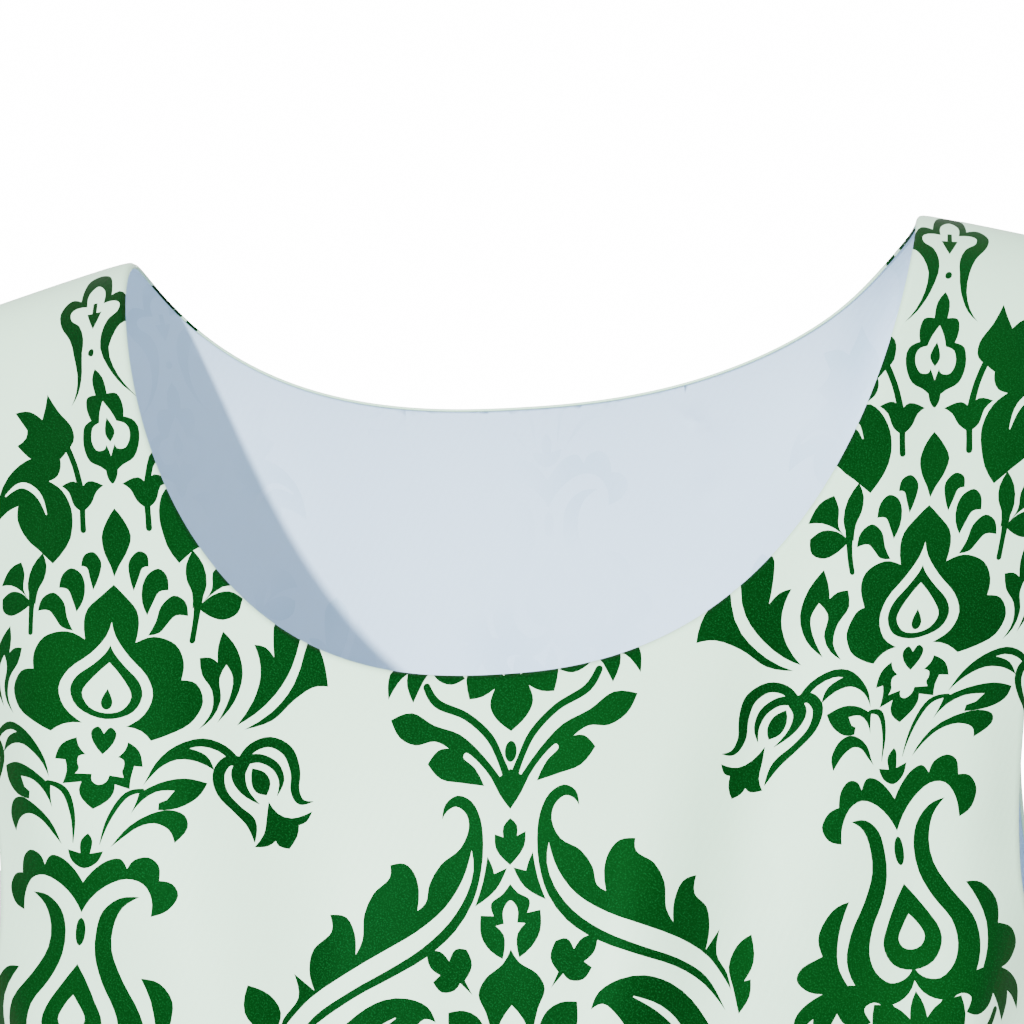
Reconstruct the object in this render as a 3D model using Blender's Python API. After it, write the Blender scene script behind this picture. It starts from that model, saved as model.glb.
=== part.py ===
"""Sleeveless scoop-neck dress of printed cloth, filled out with no wearer.

Metres, +Z up. The dress faces -Y and its left side is at +X. The origin lies midway between
the two points where the shoulder seams meet the neck, at their height: the shoulders hold the
dress there.

Each panel is cut on a flat pattern, in distances across and down the cloth. Across is measured
round the form from the panel's centre line, and down is measured along the cloth from the
shoulder ridge. The pattern is laid on the form, a set of rounded sections, takes its folds and
gets its thickness inwards.
"""

import math
from collections import namedtuple

import bmesh
import bpy
import numpy as np
from mathutils import Vector
from mathutils.geometry import delaunay_2d_cdt

CLOTH_THICKNESS = 0.002
SEAM_GAP = 0.0003

NECK_HALF_WIDTH = 0.125
SHOULDER_HALF_WIDTH = 0.183
SHOULDER_SLOPE = math.radians(15.5)
SHOULDER_EASE = 0.006
SHOULDER_FADE_DEPTH = 0.30

UNDERARM_HEIGHT = -0.252
HEM_HEIGHT = -0.960

FormRow = namedtuple("FormRow", "height half_width front_depth back_depth squareness lean")
FORM = (
    FormRow(0.000, 0.206, 0.128, 0.112, 2.30, 0.0000),
    FormRow(-0.100, 0.198, 0.130, 0.114, 2.30, -0.0054),
    FormRow(-0.200, 0.186, 0.133, 0.116, 2.25, -0.0102),
    FormRow(-0.270, 0.181, 0.132, 0.113, 2.20, -0.0122),
    FormRow(-0.400, 0.172, 0.116, 0.098, 2.15, -0.0120),
    FormRow(-0.600, 0.203, 0.134, 0.132, 2.10, -0.0060),
    FormRow(-0.800, 0.236, 0.162, 0.164, 2.00, 0.0000),
    FormRow(-0.980, 0.264, 0.186, 0.190, 2.00, 0.0000),
)
PanelCut = namedtuple(
    "PanelCut",
    "side facing cap_height neck_depth neck_fullness neck_bluntness neck_lean "
    "armhole_inset armhole_inset_height",
)
PANELS = (
    PanelCut("front", -1.0, 0.250, 0.1912, 2.39, 2.37, 0.000, 0.165, -0.200),
    PanelCut("back", 1.0, 0.180, 0.0955, 2.36, 2.40, -0.007, 0.173, -0.170),
)

Fold = namedtuple("Fold", "side share width depth start_height full_height")
FOLDS = (
    Fold("front", -0.70, 0.058, 0.021, -0.44, -0.94),
    Fold("front", -0.36, 0.066, 0.027, -0.38, -0.96),
    Fold("front", 0.00, 0.050, 0.018, -0.50, -0.92),
    Fold("front", 0.34, 0.070, 0.025, -0.40, -0.95),
    Fold("front", 0.69, 0.056, 0.022, -0.46, -0.96),
    Fold("back", -0.67, 0.060, 0.023, -0.42, -0.95),
    Fold("back", -0.30, 0.068, 0.026, -0.40, -0.96),
    Fold("back", 0.06, 0.056, 0.019, -0.48, -0.93),
    Fold("back", 0.40, 0.064, 0.026, -0.38, -0.95),
    Fold("back", 0.73, 0.054, 0.020, -0.46, -0.94),
)

Crease = namedtuple("Crease", "side across down end_across end_down width depth")
CREASES = (
    Crease("front", 0.105, 0.120, 0.045, 0.340, 0.020, -0.0034),
    Crease("front", 0.066, 0.180, 0.020, 0.380, 0.024, 0.0024),
    Crease("front", 0.178, 0.235, 0.100, 0.360, 0.017, 0.0036),
    Crease("front", -0.178, 0.240, -0.095, 0.370, 0.018, 0.0034),
    Crease("front", -0.120, 0.140, -0.070, 0.350, 0.022, -0.0028),
    Crease("back", 0.112, 0.060, 0.065, 0.210, 0.018, -0.0034),
    Crease("back", 0.180, 0.225, 0.095, 0.340, 0.018, 0.0036),
    Crease("back", -0.180, 0.220, -0.105, 0.350, 0.019, 0.0034),
    Crease("back", -0.105, 0.080, -0.060, 0.260, 0.021, -0.0026),
    Crease("back", 0.010, 0.330, 0.030, 0.450, 0.026, -0.0040),
)

BODICE_ROW_SPACING = 0.016
SKIRT_ROW_SPACING = 0.030
COLUMN_COUNT = 28
EDGE_CLEARANCE = 0.007
SEAM_FLATNESS = 0.22

CLOTH_LOOKS = {
    "front": (0.62, 0.74, 0.64, 1.0),
    "back": (0.60, 0.72, 0.63, 1.0),
}
CLOTH_ROUGHNESS = 0.48


def smooth_column(name, heights):
    """Reads one column of the form at the given heights, along a smooth curve."""
    rows = sorted(FORM)
    knots = np.array([row.height for row in rows])
    values = np.array([getattr(row, name) for row in rows])
    slopes = np.gradient(values, knots)
    place = np.clip(np.searchsorted(knots, heights) - 1, 0, len(knots) - 2)
    span = knots[place + 1] - knots[place]
    t = (heights - knots[place]) / span
    start = (1 + 2 * t) * (1 - t) ** 2 * values[place] + t * (1 - t) ** 2 * span * slopes[place]
    end = t ** 2 * (3 - 2 * t) * values[place + 1] - t ** 2 * (1 - t) * span * slopes[place + 1]
    return start + end


def smooth_step(value):
    """Goes from 0 to 1 with a flat start and end."""
    t = np.clip(value, 0.0, 1.0)
    return t * t * (3.0 - 2.0 * t)


class Form:
    """One side of the body of the dress, as fine tables over distances across and down."""

    DOWN_COUNT = 900
    ACROSS_COUNT = 300

    def __init__(self, cut):
        self.cut = cut
        angle = np.linspace(0.0, math.pi / 2, 160)
        below = np.linspace(-cut.cap_height, HEM_HEIGHT - 0.01, 300)[1:]
        height = np.concatenate([-cut.cap_height * (1.0 - np.cos(angle)), below])
        swell = np.concatenate([np.sin(angle), np.ones(len(below))])
        depth = smooth_column(cut.side + "_depth", height) * swell
        steps = np.hypot(np.diff(height), np.diff(depth))
        down = np.concatenate([[0.0], np.cumsum(steps)])
        self.down = np.linspace(0.0, down[-1], self.DOWN_COUNT)
        self.height = np.interp(self.down, down, height)
        self.depth = np.interp(self.down, down, depth)
        self.lay_sections()

    def lay_sections(self):
        """Works out each section's outline at even distances from the centre line."""
        turn = np.linspace(0.0, math.pi / 2, self.ACROSS_COUNT)
        shares = np.linspace(0.0, 1.0, self.ACROSS_COUNT)
        half_width = smooth_column("half_width", self.height)
        power = 2.0 / smooth_column("squareness", self.height)
        self.quarter = np.empty(self.DOWN_COUNT)
        self.side_x = np.empty((self.DOWN_COUNT, self.ACROSS_COUNT))
        self.side_y = np.empty((self.DOWN_COUNT, self.ACROSS_COUNT))
        for row in range(self.DOWN_COUNT):
            x = half_width[row] * np.sin(turn) ** power[row]
            y = self.depth[row] * np.cos(turn) ** power[row]
            steps = np.hypot(np.diff(x), np.diff(y))
            arc = np.concatenate([[0.0], np.cumsum(steps)])
            self.quarter[row] = arc[-1]
            self.side_x[row] = np.interp(shares, arc / arc[-1], x)
            self.side_y[row] = np.interp(shares, arc / arc[-1], y)

    def down_at(self, height):
        """Distance down the cloth at which the form has the given height."""
        return np.interp(-np.asarray(height), -self.height, self.down)

    def quarter_at(self, down):
        """Distance round the form from centre line to side seam."""
        return np.interp(down, self.down, self.quarter)

    def blend(self, table, row, column):
        """Reads a table between its rows and columns."""
        top = np.clip(row.astype(int), 0, self.DOWN_COUNT - 2)
        left = np.clip(column.astype(int), 0, self.ACROSS_COUNT - 2)
        low, right = row - top, column - left
        upper = table[top, left] * (1 - right) + table[top, left + 1] * right
        lower = table[top + 1, left] * (1 - right) + table[top + 1, left + 1] * right
        return upper * (1 - low) + lower * low

    def place(self, across, down):
        """Lays points of the flat pattern on the form, without folds."""
        row = np.interp(down, self.down, np.arange(self.DOWN_COUNT))
        share = np.clip(np.abs(across) / self.quarter_at(down), 0.0, 1.0)
        column = share * (self.ACROSS_COUNT - 1)
        x = self.blend(self.side_x, row, column) * np.sign(across)
        y = self.blend(self.side_y, row, column) * self.cut.facing
        past_neck = np.maximum(np.abs(x) - NECK_HALF_WIDTH, 0.0)
        drop = math.tan(SHOULDER_SLOPE) * past_neck ** 2 / (past_neck + SHOULDER_EASE)
        fade = smooth_step(1.0 - down / SHOULDER_FADE_DEPTH)
        height = np.interp(down, self.down, self.height)
        lean = smooth_column("lean", height)
        return np.stack([x + lean, y, height - drop * fade], axis=-1)

    def flute_lift(self, across, down):
        """How far the skirt's flutes lift the cloth off the form."""
        share = across / self.quarter_at(down)
        height = np.interp(down, self.down, self.height)
        lift = np.zeros(len(across))
        for fold in FOLDS:
            if fold.side == self.cut.side:
                reach = (fold.start_height - height) / (fold.start_height - fold.full_height)
                aside = (share - fold.share) * self.quarter_at(down) / fold.width
                lift += fold.depth * smooth_step(reach) * np.exp(-aside ** 2)
        return lift * smooth_step((1.0 - np.abs(share)) / SEAM_FLATNESS)

    def crease_lift(self, across, down):
        """How far the bodice's creases raise or sink the cloth."""
        lift = np.zeros(len(across))
        for crease in CREASES:
            if crease.side == self.cut.side:
                run = np.array([crease.end_across - crease.across, crease.end_down - crease.down])
                length = np.hypot(*run)
                from_start = np.stack([across - crease.across, down - crease.down])
                along = (run @ from_start) / length ** 2
                aside = (run[0] * from_start[1] - run[1] * from_start[0]) / length
                swell = np.sin(math.pi * np.clip(along, 0.0, 1.0)) ** 2
                lift += crease.depth * swell * np.exp(-(aside / crease.width) ** 2)
        return lift

    def lift(self, across, down):
        """How far the cloth stands off the form."""
        return self.flute_lift(across, down) + self.crease_lift(across, down)


def bezier(start, start_handle, end_handle, end, count):
    """Points along a cubic curve, without its last one."""
    points = []
    for step in range(count):
        t = step / count
        weights = ((1 - t) ** 3, 3 * t * (1 - t) ** 2, 3 * t * t * (1 - t), t ** 3)
        corners = (start, start_handle, end_handle, end)
        points.append(tuple(sum(w * c[axis] for w, c in zip(weights, corners)) for axis in (0, 1)))
    return points


def even_steps(start, end, spacing):
    """Evenly spaced values from start to end, both included, at most about spacing apart."""
    return np.linspace(start, end, max(2, round(abs(end - start) / spacing) + 1))


def skirt_rows(form):
    """Distances down the cloth of the rows from the underarms to the hem."""
    under = float(form.down_at(UNDERARM_HEIGHT))
    return even_steps(under, float(form.down_at(HEM_HEIGHT)), SKIRT_ROW_SPACING)


def shoulder_seam(start, end):
    """Points of a shoulder seam on the pattern, without the last one."""
    return [(across, 0.0) for across in even_steps(start, end, BODICE_ROW_SPACING)[:-1]]


def neckline(cut):
    """The scoop from the panel's right shoulder to its left one, leaning to its fuller side."""
    points = []
    count = 44
    for step in range(count):
        turn = math.pi * step / count
        cosine, sine = math.cos(turn), math.sin(turn)
        across = -math.copysign(abs(cosine) ** (2 / cut.neck_fullness), cosine) * NECK_HALF_WIDTH
        down = cut.neck_depth * sine ** (2 / cut.neck_bluntness)
        points.append((across + cut.neck_lean * sine ** 2, down))
    return points


def side_edge(form):
    """The left armhole and side seam, from the shoulder's end to the hem."""
    cut = form.cut
    under = float(form.down_at(UNDERARM_HEIGHT))
    inset_down = float(form.down_at(cut.armhole_inset_height))
    tip = (SHOULDER_HALF_WIDTH, 0.0)
    inset = (cut.armhole_inset, inset_down)
    underarm = (float(form.quarter_at(under)), under)
    upper = bezier(tip, (SHOULDER_HALF_WIDTH - 0.004, 0.35 * inset_down),
                   (cut.armhole_inset, 0.60 * inset_down), inset, 11)
    lower = bezier(inset, (cut.armhole_inset, inset_down + 0.75 * (under - inset_down)),
                   (underarm[0] - 0.040, under), underarm, 7)
    seam = [(float(form.quarter_at(down)), down) for down in skirt_rows(form)]
    return upper + lower + seam


def outline(form):
    """The panel's cut edge, all the way round."""
    left = side_edge(form)
    corner, hem = left[-1]
    hem_edge = [(across, hem) for across in np.linspace(corner, -corner, COLUMN_COUNT + 1)]
    right = [(-across, down) for across, down in reversed(left[1:-1])]
    tip, neck = SHOULDER_HALF_WIDTH, NECK_HALF_WIDTH
    shoulders = shoulder_seam(-tip, -neck), shoulder_seam(neck, tip)
    return left[:-1] + hem_edge + right + shoulders[0] + neckline(form.cut) + shoulders[1]


def nearest_edge(points, edge):
    """Distance from each point to the outline."""
    edge = np.array(edge)
    best = np.full(len(points), np.inf)
    for start, end in zip(edge, np.roll(edge, -1, axis=0)):
        run = end - start
        along = np.clip(((points - start) @ run) / (run @ run), 0.0, 1.0)
        best = np.minimum(best, np.hypot(*(points - start - along[:, None] * run).T))
    return best


def inner_points(form, edge):
    """Points inside the outline, in rows down the panel and columns that flare with it."""
    under = float(form.down_at(UNDERARM_HEIGHT))
    bodice = even_steps(0.0, under, BODICE_ROW_SPACING)[1:-1]
    downs = np.concatenate([bodice, skirt_rows(form)[:-1]])
    shares = np.linspace(-1.0, 1.0, COLUMN_COUNT + 1)[1:-1]
    across = np.outer(form.quarter_at(downs), shares)
    points = np.stack([across, np.broadcast_to(downs[:, None], across.shape)], -1).reshape(-1, 2)
    return points[nearest_edge(points, edge) > EDGE_CLEARANCE]


def cut_panel(form):
    """Triangles of the flat panel."""
    edge = outline(form)
    inside = inner_points(form, edge)
    points = [Vector(point) for point in edge] + [Vector(point) for point in inside]
    loop = list(range(len(edge)))
    coords, _, faces, *_ = delaunay_2d_cdt(points, [], [loop], 1, 1e-7)
    return np.array([tuple(point) for point in coords]), faces


def keep_to_its_side(points, facing):
    """Stops a panel half a seam gap short of the plane where the panels meet."""
    points[:, 1] = facing * np.maximum(points[:, 1] * facing, SEAM_GAP / 2)
    return points


def sewn_panel(cut):
    """Builds one panel as a closed wall of cloth."""
    form = Form(cut)
    flat, faces = cut_panel(form)
    across, down = flat[:, 0], flat[:, 1]
    base = form.place(across, down)
    sheet = bmesh.new()
    outer = [sheet.verts.new(point) for point in base]
    turned = faces if cut.facing < 0 else [tuple(reversed(face)) for face in faces]
    for face in turned:
        sheet.faces.new([outer[index] for index in reversed(face)])
    sheet.normal_update()
    normals = np.array([tuple(vertex.normal) for vertex in outer])
    on_seam = np.abs(base[:, 1]) < SEAM_GAP
    normals[on_seam, 1] = 0.0
    normals /= np.linalg.norm(normals, axis=1)[:, None]
    raised = base + normals * form.lift(across, down)[:, None]
    outside = keep_to_its_side(raised, cut.facing)
    inside = keep_to_its_side(outside - normals * CLOTH_THICKNESS, cut.facing)
    for vertex, point in zip(outer, outside):
        vertex.co = point
    inner = [sheet.verts.new(point) for point in inside]
    rim = [(edge.verts[0], edge.verts[1], edge.link_loops[0].vert) for edge in sheet.edges
           if edge.is_boundary]
    partner = dict(zip(outer, inner))
    for face in list(sheet.faces):
        sheet.faces.new([partner[vertex] for vertex in reversed(face.verts)])
    for first, second, leading in rim:
        head, tail = (first, second) if leading is first else (second, first)
        sheet.faces.new([tail, head, partner[head], partner[tail]])
    bmesh.ops.triangulate(sheet, faces=[face for face in sheet.faces if len(face.verts) > 3])
    mesh = bpy.data.meshes.new(cut.side)
    sheet.to_mesh(mesh)
    sheet.free()
    mesh.shade_smooth()
    mesh.set_sharp_from_angle(angle=math.radians(40))
    return mesh


def cloth_material(side):
    """Printed cloth as one plain finish, in the print's average colour."""
    material = bpy.data.materials.new("cloth_" + side)
    material.use_nodes = True
    shader = material.node_tree.nodes["Principled BSDF"]
    shader.inputs["Base Color"].default_value = CLOTH_LOOKS[side]
    shader.inputs["Roughness"].default_value = CLOTH_ROUGHNESS
    shader.inputs["Metallic"].default_value = 0.0
    return material


def clear_scene():
    """Removes whatever objects the file opened with."""
    for obj in list(bpy.data.objects):
        bpy.data.objects.remove(obj, do_unlink=True)


def build_dress():
    """Builds both panels as objects."""
    clear_scene()
    for cut in PANELS:
        mesh = sewn_panel(cut)
        mesh.materials.append(cloth_material(cut.side))
        panel = bpy.data.objects.new(cut.side, mesh)
        bpy.context.scene.collection.objects.link(panel)


build_dress()
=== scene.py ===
"""Looks of a sleeveless scoop-neck dress of printed cloth, filled out with no wearer.

Metres, +Z up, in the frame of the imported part: the dress faces -Y and its left side is at +X.
Each panel is laid out flat, in distances across and down the cloth, with the outlines of its
print. It is then cut into triangles along those outlines, laid on the form of the dress, folded
and given its thickness.
"""

import logging
import math
import sys
from dataclasses import dataclass
from enum import Enum

import bpy
import numpy as np
from mathutils import Matrix, Vector
from mathutils.geometry import delaunay_2d_cdt


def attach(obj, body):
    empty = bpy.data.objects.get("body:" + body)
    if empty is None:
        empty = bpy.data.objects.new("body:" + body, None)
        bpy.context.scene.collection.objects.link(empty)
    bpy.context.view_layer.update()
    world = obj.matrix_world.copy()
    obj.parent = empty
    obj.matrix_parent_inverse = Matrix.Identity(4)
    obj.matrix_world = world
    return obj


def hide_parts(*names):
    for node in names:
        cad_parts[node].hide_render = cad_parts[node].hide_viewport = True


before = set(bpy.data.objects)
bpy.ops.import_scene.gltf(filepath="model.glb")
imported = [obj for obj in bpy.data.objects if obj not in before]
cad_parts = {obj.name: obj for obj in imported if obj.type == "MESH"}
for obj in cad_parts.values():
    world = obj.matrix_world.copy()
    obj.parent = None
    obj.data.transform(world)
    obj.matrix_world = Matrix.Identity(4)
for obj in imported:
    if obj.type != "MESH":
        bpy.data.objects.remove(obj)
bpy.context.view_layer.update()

LOG = logging.getLogger("dress")
MILLIMETRE = 0.001
BODY = "root"

MIRROR = np.array([-1.0, 1.0])

Knot = tuple[float, ...]
Triple = tuple[float, float, float]
Node = bpy.types.Node
Socket = bpy.types.NodeSocket
Tree = bpy.types.NodeTree


class Side(Enum):
    """The two panels, with the direction each one faces along Y."""

    FRONT = -1.0
    BACK = 1.0


class Ink(Enum):
    """What a printed shape is filled with, as the panel's material index."""

    GROUND = 0
    GREEN = 1


class Balance(Enum):
    """How a shape of the print lies about its column's axis."""

    CENTRED = "its right half is given, from the axis to the axis"
    PAIRED = "its right twin is given, and it is printed on both sides"


def smooth_step(value: np.ndarray) -> np.ndarray:
    """Goes from 0 to 1 with a flat start and end."""
    t = np.clip(value, 0.0, 1.0)
    return t * t * (3.0 - 2.0 * t)


def unit(vectors: np.ndarray) -> np.ndarray:
    """Scales each row of an array to length 1."""
    length = np.linalg.norm(vectors, axis=-1, keepdims=True)
    return vectors / np.maximum(length, 1e-12)


def encloses(line: np.ndarray, points: np.ndarray) -> np.ndarray:
    """Finds which points a closed line winds round.

    Args:
        line: The line's points.
        points: The points to look at.

    Returns:
        Whether each point lies inside.
    """
    inside = np.zeros(len(points), bool)
    low, high = line.min(axis=0), line.max(axis=0)
    near = np.flatnonzero(((points >= low) & (points <= high)).all(axis=1))
    after = np.roll(line, -1, axis=0)
    for part in np.array_split(near, len(near) // 20000 + 1):
        x, y = points[part, 0, None], points[part, 1, None]
        side = (after[:, 0] - line[:, 0]) * (y - line[:, 1])
        side -= (x - line[:, 0]) * (after[:, 1] - line[:, 1])
        rising = (line[:, 1] <= y) & (after[:, 1] > y) & (side > 0)
        falling = (line[:, 1] > y) & (after[:, 1] <= y) & (side < 0)
        inside[part] = rising.sum(axis=1) != falling.sum(axis=1)
    return inside


# The form of the dress, and how its panels are cut.


@dataclass(frozen=True)
class FormRow:
    """One level section of the filled-out dress."""

    height: float
    half_width: float
    front_depth: float
    back_depth: float
    squareness: float
    lean: float


FORM = (
    FormRow(0.000, 0.206, 0.128, 0.112, 2.30, 0.0000),
    FormRow(-0.100, 0.198, 0.130, 0.114, 2.30, -0.0054),
    FormRow(-0.200, 0.186, 0.133, 0.116, 2.25, -0.0102),
    FormRow(-0.270, 0.181, 0.132, 0.113, 2.20, -0.0122),
    FormRow(-0.400, 0.172, 0.116, 0.098, 2.15, -0.0120),
    FormRow(-0.600, 0.203, 0.134, 0.132, 2.10, -0.0060),
    FormRow(-0.800, 0.236, 0.162, 0.164, 2.00, 0.0000),
    FormRow(-0.980, 0.264, 0.186, 0.190, 2.00, 0.0000),
)


@dataclass(frozen=True)
class Fold:
    """A flute of the skirt, named by its share of the way from centre line to side seam."""

    share: float
    width: float
    depth: float
    start_height: float
    full_height: float


@dataclass(frozen=True)
class Crease:
    """A soft ridge, or a trough where depth is negative, between two points of the pattern."""

    across: float
    down: float
    end_across: float
    end_down: float
    width: float
    depth: float


FRONT_FOLDS = (
    Fold(-0.70, 0.058, 0.021, -0.44, -0.94),
    Fold(-0.36, 0.066, 0.027, -0.38, -0.96),
    Fold(0.00, 0.050, 0.018, -0.50, -0.92),
    Fold(0.34, 0.070, 0.025, -0.40, -0.95),
    Fold(0.69, 0.056, 0.022, -0.46, -0.96),
)
BACK_FOLDS = (
    Fold(-0.67, 0.060, 0.023, -0.42, -0.95),
    Fold(-0.30, 0.068, 0.026, -0.40, -0.96),
    Fold(0.06, 0.056, 0.019, -0.48, -0.93),
    Fold(0.40, 0.064, 0.026, -0.38, -0.95),
    Fold(0.73, 0.054, 0.020, -0.46, -0.94),
)
FRONT_CREASES = (
    Crease(0.110, 0.110, 0.045, 0.350, 0.019, -0.0080),
    Crease(0.064, 0.170, 0.018, 0.390, 0.022, 0.0066),
    Crease(0.178, 0.235, 0.100, 0.370, 0.017, 0.0066),
    Crease(-0.178, 0.240, -0.095, 0.380, 0.018, 0.0062),
    Crease(-0.112, 0.130, -0.062, 0.350, 0.020, -0.0064),
    Crease(-0.150, 0.120, -0.128, 0.300, 0.019, 0.0060),
    Crease(0.152, 0.175, 0.128, 0.330, 0.015, 0.0040),
    Crease(0.140, 0.035, 0.128, 0.170, 0.013, -0.0032),
    Crease(-0.150, 0.020, -0.136, 0.160, 0.015, -0.0030),
    Crease(-0.030, 0.210, -0.012, 0.420, 0.018, -0.0048),
    Crease(0.150, 0.330, 0.120, 0.560, 0.024, 0.0062),
    Crease(-0.110, 0.360, -0.140, 0.580, 0.026, 0.0060),
    Crease(-0.020, 0.440, 0.010, 0.660, 0.022, -0.0052),
)
BACK_CREASES = (
    Crease(0.112, 0.060, 0.065, 0.210, 0.018, -0.0050),
    Crease(0.180, 0.225, 0.095, 0.340, 0.018, 0.0046),
    Crease(-0.180, 0.220, -0.105, 0.350, 0.019, 0.0044),
    Crease(-0.105, 0.080, -0.060, 0.260, 0.021, -0.0036),
    Crease(0.010, 0.330, 0.030, 0.450, 0.026, -0.0040),
    Crease(0.134, 0.010, 0.100, 0.150, 0.012, 0.0085),
    Crease(0.043, 0.098, 0.065, 0.116, 0.0020, 0.0007),
    Crease(0.048, 0.122, 0.062, 0.138, 0.0024, 0.0004),
    Crease(-0.150, 0.330, -0.120, 0.540, 0.024, 0.0050),
    Crease(0.105, 0.350, 0.140, 0.600, 0.026, 0.0046),
)


@dataclass(frozen=True)
class PanelCut:
    """How one panel is cut: its neck, armholes, folds and creases."""

    side: Side
    cap_height: float
    neck_depth: float
    neck_fullness: float
    neck_bluntness: float
    neck_lean: float
    armhole_inset: float
    armhole_inset_height: float
    folds: tuple[Fold, ...]
    creases: tuple[Crease, ...]
    cut_area: float

    @property
    def name(self) -> str:
        """The panel's name, which is also its CAD node's."""
        return self.side.name.lower()


PANELS = (
    PanelCut(Side.FRONT, 0.250, 0.1912, 2.39, 2.37, 0.000, 0.165, -0.200,
             FRONT_FOLDS, FRONT_CREASES, 0.479),
    PanelCut(Side.BACK, 0.180, 0.0955, 2.36, 2.40, -0.007, 0.173, -0.170,
             BACK_FOLDS, BACK_CREASES, 0.495),
)


class Form:
    """One side of the dress's form, as fine tables over distances across and down."""

    NECK_HALF_WIDTH = 0.125
    SHOULDER_HALF_WIDTH = 0.183
    SHOULDER_SLOPE = math.radians(15.5)
    SHOULDER_EASE = 0.006
    SHOULDER_FADE_DEPTH = 0.30
    UNDERARM_HEIGHT = -0.252
    HEM_HEIGHT = -0.960
    SEAM_GAP = 0.0003
    SEAM_FLATNESS = 0.22
    DOWN_COUNT = 900
    ACROSS_COUNT = 300

    def __init__(self, cut: PanelCut) -> None:
        """Works out the centre profile and the sections.

        Args:
            cut: The panel that lies on this side of the form.
        """
        self.cut = cut
        self.facing = cut.side.value
        angle = np.linspace(0.0, math.pi / 2, 160)
        below = np.linspace(-cut.cap_height, self.HEM_HEIGHT - 0.01, 300)[1:]
        height = np.concatenate([-cut.cap_height * (1.0 - np.cos(angle)), below])
        swell = np.concatenate([np.sin(angle), np.ones(len(below))])
        depth = self.column(cut.name + "_depth", height) * swell
        steps = np.hypot(np.diff(height), np.diff(depth))
        down = np.concatenate([[0.0], np.cumsum(steps)])
        self.down = np.linspace(0.0, down[-1], self.DOWN_COUNT)
        self.height = np.interp(self.down, down, height)
        self.depth = np.interp(self.down, down, depth)
        self.lay_sections()

    def column(self, name: str, heights: np.ndarray) -> np.ndarray:
        """Reads one column of the form along a smooth curve.

        Args:
            name: A field of FormRow.
            heights: The heights to read it at.

        Returns:
            The field's value at each height.
        """
        rows = sorted(FORM, key=lambda row: row.height)
        knots = np.array([row.height for row in rows])
        values = np.array([getattr(row, name) for row in rows])
        slopes = np.gradient(values, knots)
        place = np.clip(np.searchsorted(knots, heights) - 1, 0, len(knots) - 2)
        span = knots[place + 1] - knots[place]
        t = (heights - knots[place]) / span
        start = (1 + 2 * t) * (1 - t) ** 2 * values[place] + t * (1 - t) ** 2 * span * slopes[place]
        end = t ** 2 * (3 - 2 * t) * values[place + 1] - t ** 2 * (1 - t) * span * slopes[place + 1]
        return start + end

    def lay_sections(self) -> None:
        """Works out each section's outline at even distances from the centre line."""
        turn = np.linspace(0.0, math.pi / 2, self.ACROSS_COUNT)
        shares = np.linspace(0.0, 1.0, self.ACROSS_COUNT)
        half_width = self.column("half_width", self.height)
        power = 2.0 / self.column("squareness", self.height)
        self.quarter = np.empty(self.DOWN_COUNT)
        self.side_x = np.empty((self.DOWN_COUNT, self.ACROSS_COUNT))
        self.side_y = np.empty((self.DOWN_COUNT, self.ACROSS_COUNT))
        for row in range(self.DOWN_COUNT):
            x = half_width[row] * np.sin(turn) ** power[row]
            y = self.depth[row] * np.cos(turn) ** power[row]
            arc = np.concatenate([[0.0], np.cumsum(np.hypot(np.diff(x), np.diff(y)))])
            self.quarter[row] = arc[-1]
            self.side_x[row] = np.interp(shares, arc / arc[-1], x)
            self.side_y[row] = np.interp(shares, arc / arc[-1], y)

    def down_at(self, height: float) -> float:
        """Distance down the cloth at which the form has the given height."""
        return float(np.interp(-height, -self.height, self.down))

    def quarter_at(self, down: np.ndarray) -> np.ndarray:
        """Distance round the form from centre line to side seam."""
        return np.interp(down, self.down, self.quarter)

    def blend(self, table: np.ndarray, row: np.ndarray, column: np.ndarray) -> np.ndarray:
        """Reads a table between its rows and columns.

        Args:
            table: The table.
            row: Where to read it, counted in rows.
            column: Where to read it, counted in columns.

        Returns:
            The value at each place.
        """
        top = np.clip(row.astype(int), 0, self.DOWN_COUNT - 2)
        left = np.clip(column.astype(int), 0, self.ACROSS_COUNT - 2)
        low, right = row - top, column - left
        upper = table[top, left] * (1 - right) + table[top, left + 1] * right
        lower = table[top + 1, left] * (1 - right) + table[top + 1, left + 1] * right
        return upper * (1 - low) + lower * low

    def shoulder_drop(self, x: np.ndarray, down: np.ndarray) -> np.ndarray:
        """How far the slope of the shoulders lowers the cloth.

        Args:
            x: Distances from the middle of the form.
            down: Distances down the cloth.

        Returns:
            The drop of each point.
        """
        past = np.maximum(np.abs(x) - self.NECK_HALF_WIDTH, 0.0)
        drop = math.tan(self.SHOULDER_SLOPE) * past ** 2 / (past + self.SHOULDER_EASE)
        return drop * smooth_step(1.0 - down / self.SHOULDER_FADE_DEPTH)

    def place(self, flat: np.ndarray) -> np.ndarray:
        """Lays points of the flat pattern on the form, without folds.

        Args:
            flat: Distances across and down the cloth, one row a point.

        Returns:
            The points in the frame of the part.
        """
        across, down = flat[:, 0], flat[:, 1]
        row = np.interp(down, self.down, np.arange(self.DOWN_COUNT))
        share = np.clip(np.abs(across) / self.quarter_at(down), 0.0, 1.0)
        column = share * (self.ACROSS_COUNT - 1)
        x = self.blend(self.side_x, row, column) * np.sign(across)
        y = self.blend(self.side_y, row, column) * self.facing
        height = np.interp(down, self.down, self.height)
        lean = self.column("lean", height)
        return np.stack([x + lean, y, height - self.shoulder_drop(x, down)], axis=-1)

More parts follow.
